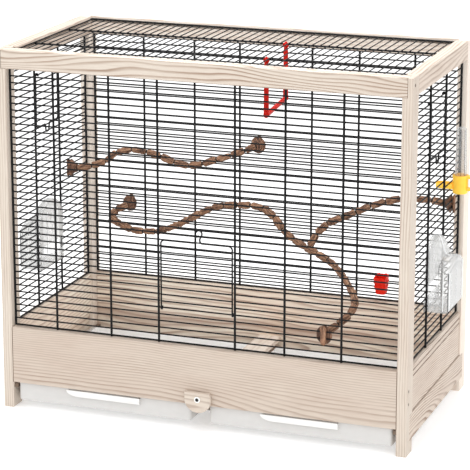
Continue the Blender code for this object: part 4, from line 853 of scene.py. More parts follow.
def put_grip(shape, middle):
    """A finger grip: a lip whose left end runs up in a curve and whose right end is square."""
    front, left, right = TRAY_Y[0] - GRIP_PROUD, middle - GRIP_HALF, middle + GRIP_HALF
    outline = [(right, GRIP_TOP), (right, GRIP_LOW + 0.002), (right - 0.002, GRIP_LOW)]
    for x, z in arc((1, 0), 1, -math.pi / 2, -math.pi / 2, 8):
        outline.append((left + GRIP_CURVE * x, GRIP_TOP + (GRIP_TOP - GRIP_LOW) * z))
    put_plate(shape, outline, (front, front + GRIP_THICK), 1)
    ys = front + 0.0003, TRAY_Y[0] + 0.0012
    put_block(shape, (left + 0.004, right), ys, (GRIP_TOP - GRIP_THICK, GRIP_TOP), GRIP_EDGE, 2, 1)
    put_block(shape, (right - GRIP_THICK, right), ys, (GRIP_LOW, GRIP_TOP), GRIP_EDGE, 2, 1)


def turn_button():
    """A disc with a flat above its centre and a square corner at its upper left."""
    end = math.asin(BUTTON_FLAT / BUTTON_RADIUS)
    outline = [(-BUTTON_RADIUS, BUTTON_FLAT), *arc((0, 0), BUTTON_RADIUS, end, -math.pi - end, 56)]
    back = FRONT - GAP
    shape = bmesh.new()
    sections = []
    for inset, y in BUTTON_FACES:
        share = 1 - inset / BUTTON_RADIUS
        sections.append([(x * share, back - y, BUTTON_Z + z * share) for x, z in outline])
    put_loft(shape, sections)
    dress("rounded_turn_button", shape, [WOODS["button"]], "turn_button", ["turn_button"])
    seat = back - BUTTON_THICK - GAP
    washer = bmesh.new()
    put_lathe(washer, WASHER, 40, upright((0, seat, BUTTON_Z), (0, -1, 0)))
    dress("rounded_button_washer", washer, [WHITE], "turn_button", ["button_washer"])
    phillips("button_screw", (0, seat - WASHER_THICK - GAP, BUTTON_Z), (0, -1, 0), 0.0034)


def phillips(name, seat, outward, radius):
    """A screw head whose cross recess is drawn as near-black bars a little proud of the head: painted shade
    for the hole.
    """
    place = upright(seat, outward)
    shape = bmesh.new()
    profile = [(0, -SHANK_LENGTH), (SHANK, -SHANK_LENGTH), (SHANK, 0)]
    profile += [(radius * share, height) for share, height in HEAD]
    put_lathe(shape, [*profile, (0, HEAD_HEIGHT)], 28, place)
    for turn in (math.pi / 5, math.pi * 7 / 10):
        bar = bmesh.new()
        xs, ys = ((-radius * share, radius * share) for share in (0.56, 0.13))
        put_block(bar, xs, ys, (0.0010, 0.00163), 0.0001, 1)
        bmesh.ops.transform(bar, matrix=place @ Matrix.Rotation(turn, 4, "Z"), verts=bar.verts)
        merge(shape, bar, 1)
    dress("cross_" + name, shape, (DARK_STEEL, RECESS_SHADE), replaces=[name])


def frame_screws():
    for number in range(1, FRAME_SCREWS + 1):
        name = "frame_screw_%d" % number
        low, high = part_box(name)
        side, face = (1, high.x) if high.x > 0 else (-1, low.x)
        middle = (low + high) / 2
        phillips(name, (face - side * HEAD_HEIGHT, middle.y, middle.z), (side, 0, 0), 0.0040)


# Perches: ends as (wall, share along it, row), routes as shares of the cage's width, depth and height

PERCH_RADIUS = 0.0067
PERCH_SEGMENT = 0.031
KNOB_RADIUS, KNOB_NECK, KNOB_DEPTH = 0.0176, 0.0088, 0.014
KNOB_NARROW, KNOB_THROAT, KNOB_LIP, KNOB_FLARE = 0.84, 0.93, 0.0032, 2.2
KNOB_SINK, LEAD = 0.0005, 0.005
CLAMP_WIDTH, CLAMP_HEIGHT, CLAMP_THICK = 0.0110, 0.036, 0.0055
PERCH_ENDS = {
    "upper_left": ("left", 0.715, 17),
    "upper_rear": ("rear", 0.467, 21),
    "lower_rear": ("rear", 0.121, 10),
    "lower_right": ("right", 0.788, 16),
    "lower_front": ("front", 0.797, 2),
}
UPPER_ROUTE = (
    (0.066, 0.745, 0.5862), (0.092, 0.775, 0.5942), (0.116, 0.800, 0.6212), (0.158, 0.822, 0.6322),
    (0.196, 0.838, 0.6272), (0.232, 0.853, 0.6132), (0.271, 0.866, 0.5962), (0.307, 0.876, 0.5902),
    (0.345, 0.882, 0.6032), (0.385, 0.892, 0.6192), (0.430, 0.903, 0.6392),
)
LOWER_ROUTE = (
    (0.100, 0.910, 0.4372), (0.076, 0.886, 0.4242), (0.098, 0.860, 0.4112), (0.143, 0.828, 0.3952),
    (0.208, 0.797, 0.3972), (0.258, 0.772, 0.4142), (0.315, 0.744, 0.4472), (0.373, 0.720, 0.4882),
    (0.430, 0.699, 0.5142), (0.486, 0.678, 0.5222), (0.533, 0.656, 0.5252), (0.564, 0.635, 0.5092),
    (0.590, 0.612, 0.4792), (0.618, 0.592, 0.4572), (0.668, 0.560, 0.4342), (0.720, 0.515, 0.4222),
    (0.768, 0.440, 0.4002), (0.808, 0.350, 0.3742), (0.836, 0.255, 0.3542), (0.836, 0.180, 0.3382),
    (0.812, 0.110, 0.3132),
)
FORK_ROUTE = (
    (0.677, 0.570, 0.4582), (0.704, 0.586, 0.5032), (0.753, 0.612, 0.5292), (0.820, 0.659, 0.5632),
    (0.880, 0.700, 0.5792), (0.935, 0.748, 0.5732),
)
JUNCTION_POINT, FORK_START = 14, 0.00525
LOG_PROFILE = (
    (0.0, 0.60), (0.015, 0.76), (0.05, 0.90), (0.13, 0.99), (0.28, 1.00), (0.42, 1.04), (0.58, 1.0),
    (0.72, 1.03), (0.87, 0.98), (0.95, 0.88), (0.985, 0.74), (1.0, 0.58),
)
LOG_SIDES, LOG_GAP, LEAST_LOG, LOG_SKEW = 20, 0.0014, 0.008, 0.0008
CORE_SHARE, FULLNESS = 0.55, (0.96, 1.12)

# Lumps of the bark, as their size and how fast they change from place to place
LOG_LUMP, LOG_RATE, CRUST_LUMP, CRUST_RATE = 0.22, 95, 0.09, 330
KNOB_LUMP, KNOB_RATE, KNOB_GRAIN = 0.10, 110, 0.6
CLAMP_LUMP, CLAMP_RATE_ACROSS, CLAMP_RATE_ALONG = 0.14, 160, 90
CLAMP_STEPS, CLAMP_TIP, CLAMP_SWELL, CLAMP_CURVE = 12, 0.50, 2.6, 0.6
CLAMP_WAIST, CLAMP_WAVE = 0.86, 0.20


def perch_end(wall, share, row):
    """The point on the wires' inner side where a perch is fixed, and the way into the cage."""
    z = row_z(row) + ROW_PITCH / 2
    if wall in SIDES:
        side = SIDES[wall]
        return side_point(side)(depth_at(share), ROW_BEHIND, z), Vector((-side, 0, 0))
    if wall == "front":
        return front_point(width_at(share), ROW_BEHIND, z), Vector((0, 1, 0))
    return rear_point(-width_at(share), ROW_BEHIND, z), Vector((0, -1, 0))


def even_points(samples, spacing):
    lengths = [0]
    for first, second in zip(samples, samples[1:]):
        lengths.append(lengths[-1] + (second - first).length)
    count = max(2, round(lengths[-1] / spacing))
    points, index = [], 0
    for number in range(count + 1):
        reach = lengths[-1] * number / count
        while index < len(lengths) - 2 and lengths[index + 1] < reach:
            index += 1
        share = (reach - lengths[index]) / (lengths[index + 1] - lengths[index])
        points.append(samples[index].lerp(samples[index + 1], share))
    return points


def grain_layer(shape):
    return shape.verts.layers.float_vector.get("grain") or shape.verts.layers.float_vector.new("grain")


def put_log(shape, start, end, radius, offset):
    """Adds one short, lumpy piece of branch, with the straightened place of each point in its grain."""
    layer = grain_layer(shape)
    way = (end - start).normalized()
    across = way.orthogonal().normalized()
    over = way.cross(across)
    loops = []
    for share, fullness in LOG_PROFILE:
        centre = start.lerp(end, share)
        loop = []
        for x, y in circle(radius, LOG_SIDES):
            reach = across * x + over * y
            place = centre + reach
            lump = 1 + LOG_LUMP * noise.noise(place * LOG_RATE + offset)
            lump += CRUST_LUMP * noise.noise(place * CRUST_RATE + offset)
            vertex = shape.verts.new(centre + reach * fullness * lump)
            vertex[layer] = Vector((x, y, share * (end - start).length)) + offset
            loop.append(vertex)
        loops.append(loop)
    ends = bridge(shape, loops[:3]) + bridge(shape, loops[-3:])
    paint([*ends, shape.faces.new(loops[0]), shape.faces.new(loops[-1])], 2)
    paint(bridge(shape, loops[2:-2]), 0)


def branch(name, route):
    """A branch of short logs on a core drawn near black as painted shade in the gaps between them, from a
    route of points.
    """
    points = even_points(smooth_route(route, 24), PERCH_SEGMENT)
    dice = random.Random(name)
    shape = bmesh.new()
    grain_layer(shape)
    for start, end in zip(points, points[1:]):
        length = (end - start).length
        if length < LEAST_LOG:
            continue
        trim = min(LOG_GAP / length, 0.06)
        radius = PERCH_RADIUS * dice.uniform(*FULLNESS)
        skew = Vector([dice.uniform(-1, 1) for _ in range(3)]) * LOG_SKEW
        offset = Vector([dice.uniform(0, 9) for _ in range(3)])
        put_log(shape, start.lerp(end, trim) + skew, start.lerp(end, 1 - trim) - skew, radius, offset)
    put_tube(shape, points, PERCH_RADIUS * CORE_SHARE, 10, False, 1)
    dress("bark_" + name, shape, (BARK, CORE_SHADE, BARK_END), replaces=[name])


def knob(name, place, inward):
    """A flared knob inside the wires, and outside them a clamp of the same wood."""
    shape = bmesh.new()
    layer = grain_layer(shape)
    base = upright(place + inward * (THIN + GAP), inward)
    rim, throat = KNOB_RADIUS, KNOB_THROAT * KNOB_RADIUS
    profile = [(0.0, 0.0), (throat, 0.0), (rim, 0.0006), (rim, 0.0020), (rim * 0.95, 0.0030)]
    for number in range(1, 8):
        share = number / 7
        flare = (throat - KNOB_NECK) * (1 - share) ** KNOB_FLARE
        profile.append((KNOB_NECK + flare, KNOB_LIP + (KNOB_DEPTH - KNOB_LIP) * share))
    profile.append((0.0, KNOB_DEPTH))
    offset = place * 7
    for loop in put_lathe(shape, profile, 30, base):
        for vertex in loop:
            local = base.inverted() @ vertex.co
            lump = 1 + KNOB_LUMP * noise.noise(vertex.co * KNOB_RATE + offset)
            vertex.co = base @ Vector((local.x * lump * KNOB_NARROW, local.y * lump, local.z))
            vertex[layer] = Vector((local.x * KNOB_GRAIN, local.z, local.y * KNOB_GRAIN)) + offset
    dress("flared_perch_knob_" + name, shape, [BARK_DARK], replaces=["perch_knob_" + name])
    clamp(name, place - inward * (THIN + GAP), inward, offset)


def clamp(name, near, inward, offset):
    """A flat stick outside the wires, waisted at its middle, and the peg that joins it to the knob."""
    sideways = inward.cross(Vector((0, 0, 1)))
    centre = near - inward * CLAMP_THICK / 2
    shape = bmesh.new()
    layer = grain_layer(shape)
    sections, grains = [], []
    for number in range(CLAMP_STEPS + 1):
        share = number / CLAMP_STEPS
        rise = (share - 0.5) * CLAMP_HEIGHT
        fullness = min(1.0, CLAMP_TIP + CLAMP_SWELL * min(share, 1 - share) ** CLAMP_CURVE)
        fullness *= CLAMP_WAIST + CLAMP_WAVE * abs(math.sin(math.tau * share))
        section, grain = [], []
        for x, y in circle(0.5, 18):
            x, y = x * CLAMP_WIDTH, y * CLAMP_THICK
            spot = Vector((x * CLAMP_RATE_ACROSS, y * CLAMP_RATE_ACROSS, rise * CLAMP_RATE_ALONG))
            lump = fullness * (1 + CLAMP_LUMP * noise.noise(spot + offset))
            section.append(centre + sideways * x * lump + inward * y * min(lump, 1) + Vector((0, 0, rise)))
            grain.append(Vector((x, y, rise)) + offset)
        sections.append(section)
        grains.append(grain)
    for loop, grain in zip(put_loft(shape, sections), grains):
        for vertex, value in zip(loop, grain):
            vertex[layer] = value
    put_tube(shape, (near - inward * 0.001, near + inward * 0.004), 0.0022)
    dress("bark_perch_clamp_" + name, shape, [BARK], replaces=["perch_clamp_" + name])


def perches():
    """The knobs with their clamps, and three branches that start and end on a knob or on each other."""
    ends = {}
    for name, values in PERCH_ENDS.items():
        place, inward = perch_end(*values)
        face = place + inward * (THIN + GAP + KNOB_DEPTH - KNOB_SINK)
        ends[name] = [face, face + inward * LEAD]
        knob(name, place, inward)
    upper, lower, fork = (
        [Vector((width_at(x), depth_at(y), z * HEIGHT)) for x, y, z in route]
        for route in (UPPER_ROUTE, LOWER_ROUTE, FORK_ROUTE)
    )
    branch("perch_upper", [*ends["upper_left"], *upper, *reversed(ends["upper_rear"])])
    branch("perch_lower", [*ends["lower_rear"], *lower, *reversed(ends["lower_front"])])
    joint = lower[JUNCTION_POINT]
    start = joint + (fork[0] - joint).normalized() * FORK_START
    branch("perch_fork", [start, *fork, *reversed(ends["lower_right"])])


# Swing and treat clip

SWING_GAPS = (29, 28)
SWING_RING, SWING_WIRE = 0.00525, 0.00125
EYE_RADIUS, EYE_TUBE, EYE_SIDES = 0.00575, 0.0017, 28
SWING_BAR_Z = -0.109
ARM_TOP = -2 * SWING_RING + 0.0012
ARM_HALF, ARM_RIB, ARM_RIB_HALF = 0.0014, (0.0012, 0.0018), 0.0012
ARM_OUTLINE = (
    (0.0036, ARM_TOP), (0.0040, ARM_TOP - 0.004), (0.0044, ARM_TOP - 0.008), (0.0045, -0.070),
    (0.0050, SWING_BAR_Z + 0.004), (0.0056, SWING_BAR_Z), (0.0048, SWING_BAR_Z - 0.0030),
    (0.0022, SWING_BAR_Z - 0.0048),
)
FOOT_DISC = ((0, -0.0024), (0.0046, -0.0024), (0.0052, -0.0018))
HEAD_DISC = ((0, -0.0021), (0.0052, -0.0021), (0.0058, -0.0014))
BAR_RADIUS, BAR_END, BAR_RIB, BAR_INSET, BAR_STEPS = 0.0043, 0.0044, 0.00035, 0.006, 32
CLIP_SHARE, CLIP_LIFT = 0.794, 0.0035
CLIP_HEIGHT, CLIP_WALL, RIM_SLANT = 0.038, 0.002, 0.0035
CLIP_BASE = row_z(0) + CLIP_LIFT
CLIP_BACK = REAR_GRILLE_Y - ROW_BEHIND - THIN - GAP
CLIP_WIDTH, CLIP_DEPTH, CLIP_FLARE = 0.019, 0.021, (0.006, 0.009)
CLIP_LEVELS = (
    0, 0.001, 0.004, 0.010, 0.0135, 0.0145, 0.0175, 0.0185, 0.0235, 0.0245, 0.0275, 0.0285, 0.0325, 0.0360,
    CLIP_HEIGHT,
)
CLIP_BANDS, CLIP_BAND, CLIP_EDGE = ((0.0140, 0.0180), (0.0240, 0.0280)), 0.0011, 0.0008
HOOK_REACH = 0.0024
CLIP_CORNER, FLUTE_DEPTH, FLUTE_POINTS, FLUTE_FOOT = 0.004, 0.035, 6, 0.006
RIM_SHARE, RIM_WAVES = 0.97, ((0.0011, 1.9), (0.0007, 0.83))


def put_arm(shape, y, out):
    """One arm of the swing: a flat plate with a rib, a disc at its foot, and a ring with its head."""
    outline = [*ARM_OUTLINE, *((-x, z) for x, z in reversed(ARM_OUTLINE))]
    put_plate(shape, outline, (y - ARM_HALF, y + ARM_HALF))
    rib = [y + out * proud for proud in ARM_RIB]
    put_block(shape, (-ARM_RIB_HALF, ARM_RIB_HALF), rib, (SWING_BAR_Z + 0.008, ARM_TOP - 0.010), 0.0002)
    ring = [(0, y + across, -SWING_RING + up) for up, across in circle(EYE_RADIUS, EYE_SIDES)]
    put_tube(shape, ring, EYE_TUBE, 12, True)
    for half, z in ((FOOT_DISC, SWING_BAR_Z), (HEAD_DISC, -SWING_RING)):
        profile = [*half, *((radius, -height) for radius, height in reversed(half))]
        put_lathe(shape, profile, 28, upright((0, y, z), (0, 1, 0)))


def swing():
    """Two flat arms that hang from rings on the thick roof wires, with a round bar between them."""
    places = roof_places()
    front_x, rear_x = ((places[gap] + places[gap + 1]) / 2 for gap in SWING_GAPS)
    front, rear = ROOF_BARS
    span = math.hypot(rear - front, rear_x - front_x)
    shape = bmesh.new()
    for arm, out in ((0, -1), (span, 1)):
        put_arm(shape, arm, out)
    profile = [(0, 0), (BAR_END, 0)]
    for number in range(BAR_STEPS + 1):
        radius = BAR_RADIUS + (BAR_RIB if number % 2 else 0.0)
        profile.append((radius, BAR_INSET + (span - 2 * BAR_INSET) * number / BAR_STEPS))
    profile += [(BAR_END, span), (0, span)]
    put_lathe(shape, profile, 24, upright((0, 0, SWING_BAR_Z), (0, 1, 0)))
    turn = Matrix.Rotation(math.atan2(front_x - rear_x, rear - front), 4, "Z")
    hanger = Matrix.Translation((front_x, front, ROOF_BAR_Z + THICK + GAP + SWING_WIRE))
    bmesh.ops.transform(shape, matrix=hanger @ turn, verts=shape.verts)
    dress("moulded_swing", shape, [RED_DEEP], "swing", ["swing"])


def treat_clip():
    """A tapered cup on the rear wires, with moulded flutes, two bands, an uneven rim and two hooks."""
    middle = width_at(CLIP_SHARE)
    shape = bmesh.new()
    sections = []
    for level in CLIP_LEVELS:
        banded = any(low < level < high for low, high in CLIP_BANDS)
        grow = (CLIP_BAND if banded else 0) - (0 if level else CLIP_EDGE)
        sections.append(clip_section(middle, level, grow, True))
    for level in (CLIP_HEIGHT - 0.0004, 0.020, CLIP_WALL):
        sections.append(clip_section(middle, level, -CLIP_WALL, False))
    put_loft(shape, sections)
    bend = arc((REAR_GRILLE_Y - ROW_BEHIND, row_z(1)), HOOK_REACH, math.radians(240), -math.radians(230), 8)
    for aside in (-0.006, 0.006):
        put_tube(shape, [(middle + aside, y, z) for y, z in bend], 0.0009, 8)
    dress("moulded_treat_clip", shape, [RED], replaces=["treat_clip"])


def clip_section(x, level, grow, fluted):
    """One level of the treat clip's cup, grown outwards, with flutes and rim on its outside."""
    share = level / CLIP_HEIGHT
    half = (CLIP_WIDTH + CLIP_FLARE[0] * share) / 2 + grow
    depth = CLIP_DEPTH + CLIP_FLARE[1] * share + grow
    inner_back = CLIP_BACK - (0 if fluted else CLIP_WALL)
    plan = rounded_plan((x - half, CLIP_BACK - depth), (x + half, inner_back), CLIP_CORNER, 0, 8, 4)
    middle_y = CLIP_BACK - depth / 2
    section = []
    for number, (px, py) in enumerate(plan):
        flute = 1.0
        if fluted and py < CLIP_BACK - 0.002:
            wave = math.sin(number * math.tau / FLUTE_POINTS)
            flute += FLUTE_DEPTH * wave * min(1, level / FLUTE_FOOT)
        z = CLIP_BASE + level
        if share > RIM_SHARE:
            z += sum(size * math.sin(number * rate) for size, rate in RIM_WAVES)
            z -= RIM_SLANT * (CLIP_BACK - py) / depth
        section.append((x + (px - x) * flute, min(CLIP_BACK, middle_y + (py - middle_y) * flute), z))
    return section


# Feeders, in each side's own distances: out from the cage's middle, back, and up from their foot

FEEDER_FRONT, FEEDER_REAR = SIDE_BARS[0] + THICK + GAP, SIDE_BARS[1] - THICK - GAP
FEEDER_MIDDLE, FEEDER_HALF = (FEEDER_FRONT + FEEDER_REAR) / 2, (FEEDER_REAR - FEEDER_FRONT) / 2
FEEDER_BOTTOM = row_z(FEEDER_ROWS[0]) + THIN + GAP
FEEDER_INNER, FEEDER_OUTER = SIDE_GRILLE_X - ROW_BEHIND - 0.003, HALF + 0.0335
FEEDER_CREST = FEEDER_INNER + 0.014
FEEDER_PEAK, FEEDER_DROP, FEEDER_SHOULDER = 0.134, 0.033, 0.009
FEEDER_FALL = 0.42
MOUTH_RISE, BOX_RISE = 0.034, 0.012
RIM_SPRING, SCREEN_SPRING, SCREEN_FOOT = 0.100, 0.098, 0.045
FLANGE_UP, FLANGE_OUT, FLANGE_ASIDE = (0.006, 0.096), 0.002, 0.0045
LIP_UP, LIP_OUT, LIP_PLAY = (0.0018, 0.024), 0.002, 0.0018
RIDGE_OVERS = (0.0, 0.10, 0.20, 0.30, 0.42, 0.60, 0.75)
CORNER_ROUND, FOOT_ROUND = 0.006, 0.005
SHELL_STEPS, RIM_POINTS, CROWN_POINTS = 24, 26, slice(4, 23)
SEAT_X = SIDE_GRILLE_X + THICK + GAP
# Material slots of the trim: lines of painted shade, lines of painted highlight, and the feeder's clear
# plastic
SHADE_LINE, GLINT_LINE, BOX = 1, 2, 3

# Upright ribs as (out, from the middle, foot, head, radius, material) and top ribs as (inset, spring, ...)
SCREEN_RIBS = [(FEEDER_INNER, FEEDER_HALF * x, 0.047, 0.112, 0.0009, GLINT_LINE) for x in (-0.40, 0.04, 0.48)]
FACE_RIBS = [(FEEDER_OUTER, y, 0.008, 0.078, 0.0007, 0) for y in (-0.035, 0, 0.035)]
SIDE_RIBS = [
    (FEEDER_OUTER - inset, way * FEEDER_HALF, 0.006, 0.094, 0.0007, 0)
    for inset in (0.007, 0.016, 0.025) for way in (-1, 1)
]
CORNER_RIBS = [
    (FEEDER_OUTER - inset, way * (FEEDER_HALF - back), 0.004, 0.078, radius, tone) for way in (-1, 1)
    for inset, back, radius, tone in (
        (0.0016, 0.0015, 0.0008, SHADE_LINE), (0.0004, 0.0055, 0.0012, GLINT_LINE), (0.0110, -0.0001, 0.0010, GLINT_LINE),
    )
]
TOP_RIBS = (
    (0.0012, 0.0715, 0.0008, SHADE_LINE), (0.0030, 0.0745, 0.0009, GLINT_LINE), (0.0200, 0.0865, 0.0007, SHADE_LINE),
)


def arch_loop(x, half, spring, rise, foot):
    """One upright section of a feeder at a distance out, closed along its foot."""
    radius = (half**2 + rise**2) / (2 * rise)
    centre = spring + rise - radius
    start = math.atan2(spring - centre, half)
    climb = [(half, foot + (spring - foot) * share / 5) for share in range(5)]
    crown = arc((0, centre), radius, math.pi - start, 2 * start - math.pi, 16)
    floor = [(half * (1 - 2 * share / 6), foot) for share in range(1, 6)]
    outline = [*((-y, z) for y, z in climb), *crown, *reversed(climb), *floor]
    return [(x, FEEDER_MIDDLE + y, FEEDER_BOTTOM + z) for y, z in outline]


def eased(share):
    """How far a quarter circle has dropped, from 0 at share 0 to 1 at share 1."""
    return 1 - math.sqrt(max(0.0, 1 - max(0.0, share) ** 2))


def feeder_peak(over):
    """Height of a feeder's crown, from its trumpet mouth at 0 to its outer face at 1."""
    fall = min(1.0, over / FEEDER_FALL)
    crown = FEEDER_PEAK - FEEDER_DROP * fall**2 * (3 - 2 * fall) - 0.004 * over
    return crown - FEEDER_SHOULDER * eased((over - 0.70) / 0.30)


def feeder_x(over):
    return FEEDER_CREST + (FEEDER_OUTER - FEEDER_CREST) * over


def feeder_shell(name, side):
    """A clear hopper: a trumpet-shaped arch at the wires that narrows to a box with rounded shoulders."""
    overs = [math.sin(math.pi / 2 * number / SHELL_STEPS) for number in range(SHELL_STEPS + 1)]
    places = [FEEDER_INNER + out for out in (0, 0.005, 0.010)] + [feeder_x(over) for over in overs]
    loops = []
    shape = bmesh.new()
    for x in places:
        over = max(0.0, (x - FEEDER_CREST) / (FEEDER_OUTER - FEEDER_CREST))
        rise = MOUTH_RISE - (MOUTH_RISE - BOX_RISE) * min(1.0, over / FEEDER_FALL)
        foot = FOOT_ROUND * eased(min(1.0, (x - FEEDER_OUTER + CORNER_ROUND) / CORNER_ROUND))
        section = arch_loop(side * x, FEEDER_HALF - foot, feeder_peak(over) - rise, rise, foot)
        loops.append([shape.verts.new(point) for point in section])
    bridge(shape, loops)
    shape.faces.new(loops[-1])
    piece = dress("clear_" + name, shape, [CLEAR_BOX], name, [name])
    shell = piece.modifiers.new("wall", "SOLIDIFY")
    shell.thickness, shell.offset = 0.0018, -1


def put_feeder_walls(trim, side):
    """The hopper's rim, its clear inner screen, the lip below that, and flanges on the bars beside it."""
    rim = arch_loop(side * (SEAT_X + 0.001), FEEDER_HALF + 0.0016, RIM_SPRING, MOUTH_RISE, 0.006)
    put_tube(trim, rim[:RIM_POINTS], 0.0012)
    screen_half = FEEDER_HALF - 0.002
    screen = [
        arch_loop(side * (FEEDER_INNER + out), screen_half, SCREEN_SPRING, MOUTH_RISE, SCREEN_FOOT)
        for out in (0.0008, 0.0020)
    ]
    put_loft(trim, screen, BOX)
    xs = side * FEEDER_INNER, side * (FEEDER_INNER + LIP_OUT)
    ys = FEEDER_FRONT + LIP_PLAY, FEEDER_REAR - LIP_PLAY
    put_block(trim, xs, ys, [FEEDER_BOTTOM + up for up in LIP_UP], 0.0006)
    xs = side * SEAT_X, side * (SEAT_X + FLANGE_OUT)
    for way in (-1, 1):
        ys = [FEEDER_MIDDLE + way * (FEEDER_HALF + reach) for reach in (0, FLANGE_ASIDE)]
        put_block(trim, xs, ys, [FEEDER_BOTTOM + up for up in FLANGE_UP], 0.0006)


def feeder_trim(name, side):
    """What a feeder's shell carries, with ribs and with lines of painted highlight and painted shade along
    its edges.
    """
    trim = bmesh.new()
    put_feeder_walls(trim, side)
    for x, y, foot, head, radius, tone in (*SCREEN_RIBS, *SIDE_RIBS, *FACE_RIBS, *CORNER_RIBS):
        ends = [(side * x, FEEDER_MIDDLE + y, FEEDER_BOTTOM + z) for z in (foot, head)]
        put_tube(trim, ends, radius, 8, False, tone)
    for inset, spring, radius, tone in TOP_RIBS:
        edge = arch_loop(side * (FEEDER_OUTER - inset), FEEDER_HALF - 0.002, spring, BOX_RISE, 0.002)
        put_tube(trim, edge[CROWN_POINTS], radius, 8, False, tone)
    # Painted highlight: a bright streak down the hood's ridge
    peaks = [(feeder_x(over), FEEDER_BOTTOM + feeder_peak(over)) for over in RIDGE_OVERS]
    ridge = [(side * x, FEEDER_MIDDLE, z) for x, z in peaks]
    put_tube(trim, ridge, 0.0014, 8, False, GLINT_LINE)
    dress("clear_trim_" + name, trim, [CLEAR, EDGE_SHADE, GLINT, CLEAR_BOX], name)


# Drinker: a cup outside the wires, with a trough between two rows and a tube that stands in it

DRINKER_X, DRINKER_Y = SIDE_GRILLE_X + 0.0163, depth_at(0.753)
DRINKER_ROW = 19
TROUGH_LOW = row_z(DRINKER_ROW) + THIN + GAP
TROUGH_HIGH = row_z(DRINKER_ROW + 1) - THIN - GAP
TROUGH_TIP, TROUGH_ROOT, TROUGH_HALF = SIDE_GRILLE_X - 0.032, DRINKER_X - 0.0125, 0.011
TROUGH_LEVELS = (
    (0.0030, TROUGH_LOW), (0.0012, TROUGH_LOW + 0.0005), (0.0003, TROUGH_LOW + 0.0016),
    (0, TROUGH_LOW + 0.003), (0, TROUGH_HIGH - 0.0008), (0.0004, TROUGH_HIGH), (0.0014, TROUGH_HIGH),
    (0.0018, TROUGH_HIGH - 0.0008), (0.0019, TROUGH_LOW + 0.0042), (0.0030, TROUGH_LOW + 0.0022),
    (0.0050, TROUGH_LOW + 0.0018),
)
CUP_LOW = TROUGH_LOW - 0.008
CUP_WALL = (
    (0, 0), (0.0116, 0), (0.0136, 0.0006), (0.0145, 0.0020), (0.0148, 0.005), (0.0148, 0.0310),
    (0.0153, 0.0316), (0.0154, 0.0350), (0.0151, 0.0358), (0.0146, 0.0360), (0.0140, 0.0357),
)
CUP_LINING = ((0.0140, 0.0357), (0.0136, 0.0348), (0.0130, 0.006), (0.0110, 0.0035), (0, 0.003))
STRAP_NEAR, STRAP_FAR, STRAP_TALL = DRINKER_X + 0.0125, DRINKER_X + 0.025, 0.026
STRAP_HALF, STRAP_RIM, STRAP_THICK = 0.0068, 0.0062, 0.0024
TUBE_BASE, TUBE_HEIGHT, TUBE_WALL = CUP_LOW + 0.019, 0.110, 0.0012
TUBE_FOOT = ((0.0100, 0), (0.0113, 0.0006), (0.0113, 0.010), (0.0111, 0.016))
TUBE_TOP = ((0.0090, -0.0022), (0.0078, -0.0008), (0.0050, 0), (0, 0))
TUBE_RADIUS, TUBE_TAPER = 0.0111, 0.0016
TAPER_FOOT, TAPER_SPAN = 0.016, TUBE_HEIGHT - 0.020
TUBE_MARKS, MARK_SPAN, MARK_TUBE = (0.030, 0.050, 0.070, 0.090), 0.09, 0.00025
TUBE_RIBS, RIB_TUBE = (-75, -35, 30, 150), 0.00045
RIB_ENDS = ((0.0112, 0.017), (0.0096, TUBE_HEIGHT - 0.004))


def stadium(inset):
    """The plan of the drinker's trough: straight sides with a round tip towards the cage."""
    radius = TROUGH_HALF - inset
    tip = arc((TROUGH_TIP + TROUGH_HALF, DRINKER_Y), radius, -math.pi / 2, -math.pi, 10)
    return [(TROUGH_ROOT, DRINKER_Y - radius), *tip, (TROUGH_ROOT, DRINKER_Y + radius)]


def drinker_base():
    """The cup, drawn deeper orange on its inside as painted shade, the trough and the clip of a strap
    between two round rims.
    """
    shape = bmesh.new()
    place = Matrix.Translation((DRINKER_X, DRINKER_Y, CUP_LOW))
    put_lathe(shape, CUP_WALL, 40, place)
    shape.faces.ensure_lookup_table()
    bmesh.ops.delete(shape, geom=[shape.faces[-1]], context="FACES_ONLY")
    put_lathe(shape, CUP_LINING, 40, place, 1)
    put_loft(shape, [[(x, y, z) for x, y in stadium(inset)] for inset, z in TROUGH_LEVELS])
    low, high = TROUGH_LOW, TROUGH_LOW + STRAP_TALL
    loop = [
        (STRAP_NEAR, low + 0.0015), (STRAP_FAR - 0.004, low + 0.0012), (STRAP_FAR - 0.0012, low + 0.004),
        (STRAP_FAR - 0.0012, high - 0.004), (STRAP_FAR - 0.004, high - 0.0012), (STRAP_NEAR, high - 0.0015),
    ]
    path = smooth_route([(x, 0, z) for x, z in loop], 4)
    for aside in (-STRAP_RIM, STRAP_RIM):
        put_tube(shape, [point + Vector((0, DRINKER_Y + aside, 0)) for point in path], 0.0012)
    put_strap(shape, path)
    dress("moulded_drinker_base", shape, (YELLOW, ORANGE_SHADE), replaces=["drinker_base"])


def put_strap(shape, path):
    """A flat strap along a line in the XZ plane."""
    corners = ((1, -1), (1, 1), (-1, 1), (-1, -1))
    sections = []
    for number, point in enumerate(path):
        way = path[min(number + 1, len(path) - 1)] - path[max(number - 1, 0)]
        out = Vector((way.z, 0, -way.x)).normalized() * STRAP_THICK
        centre = point + Vector((0, DRINKER_Y, 0))
        sections.append([centre + out * s + Vector((0, STRAP_HALF * t, 0)) for s, t in corners])
    put_loft(shape, sections)


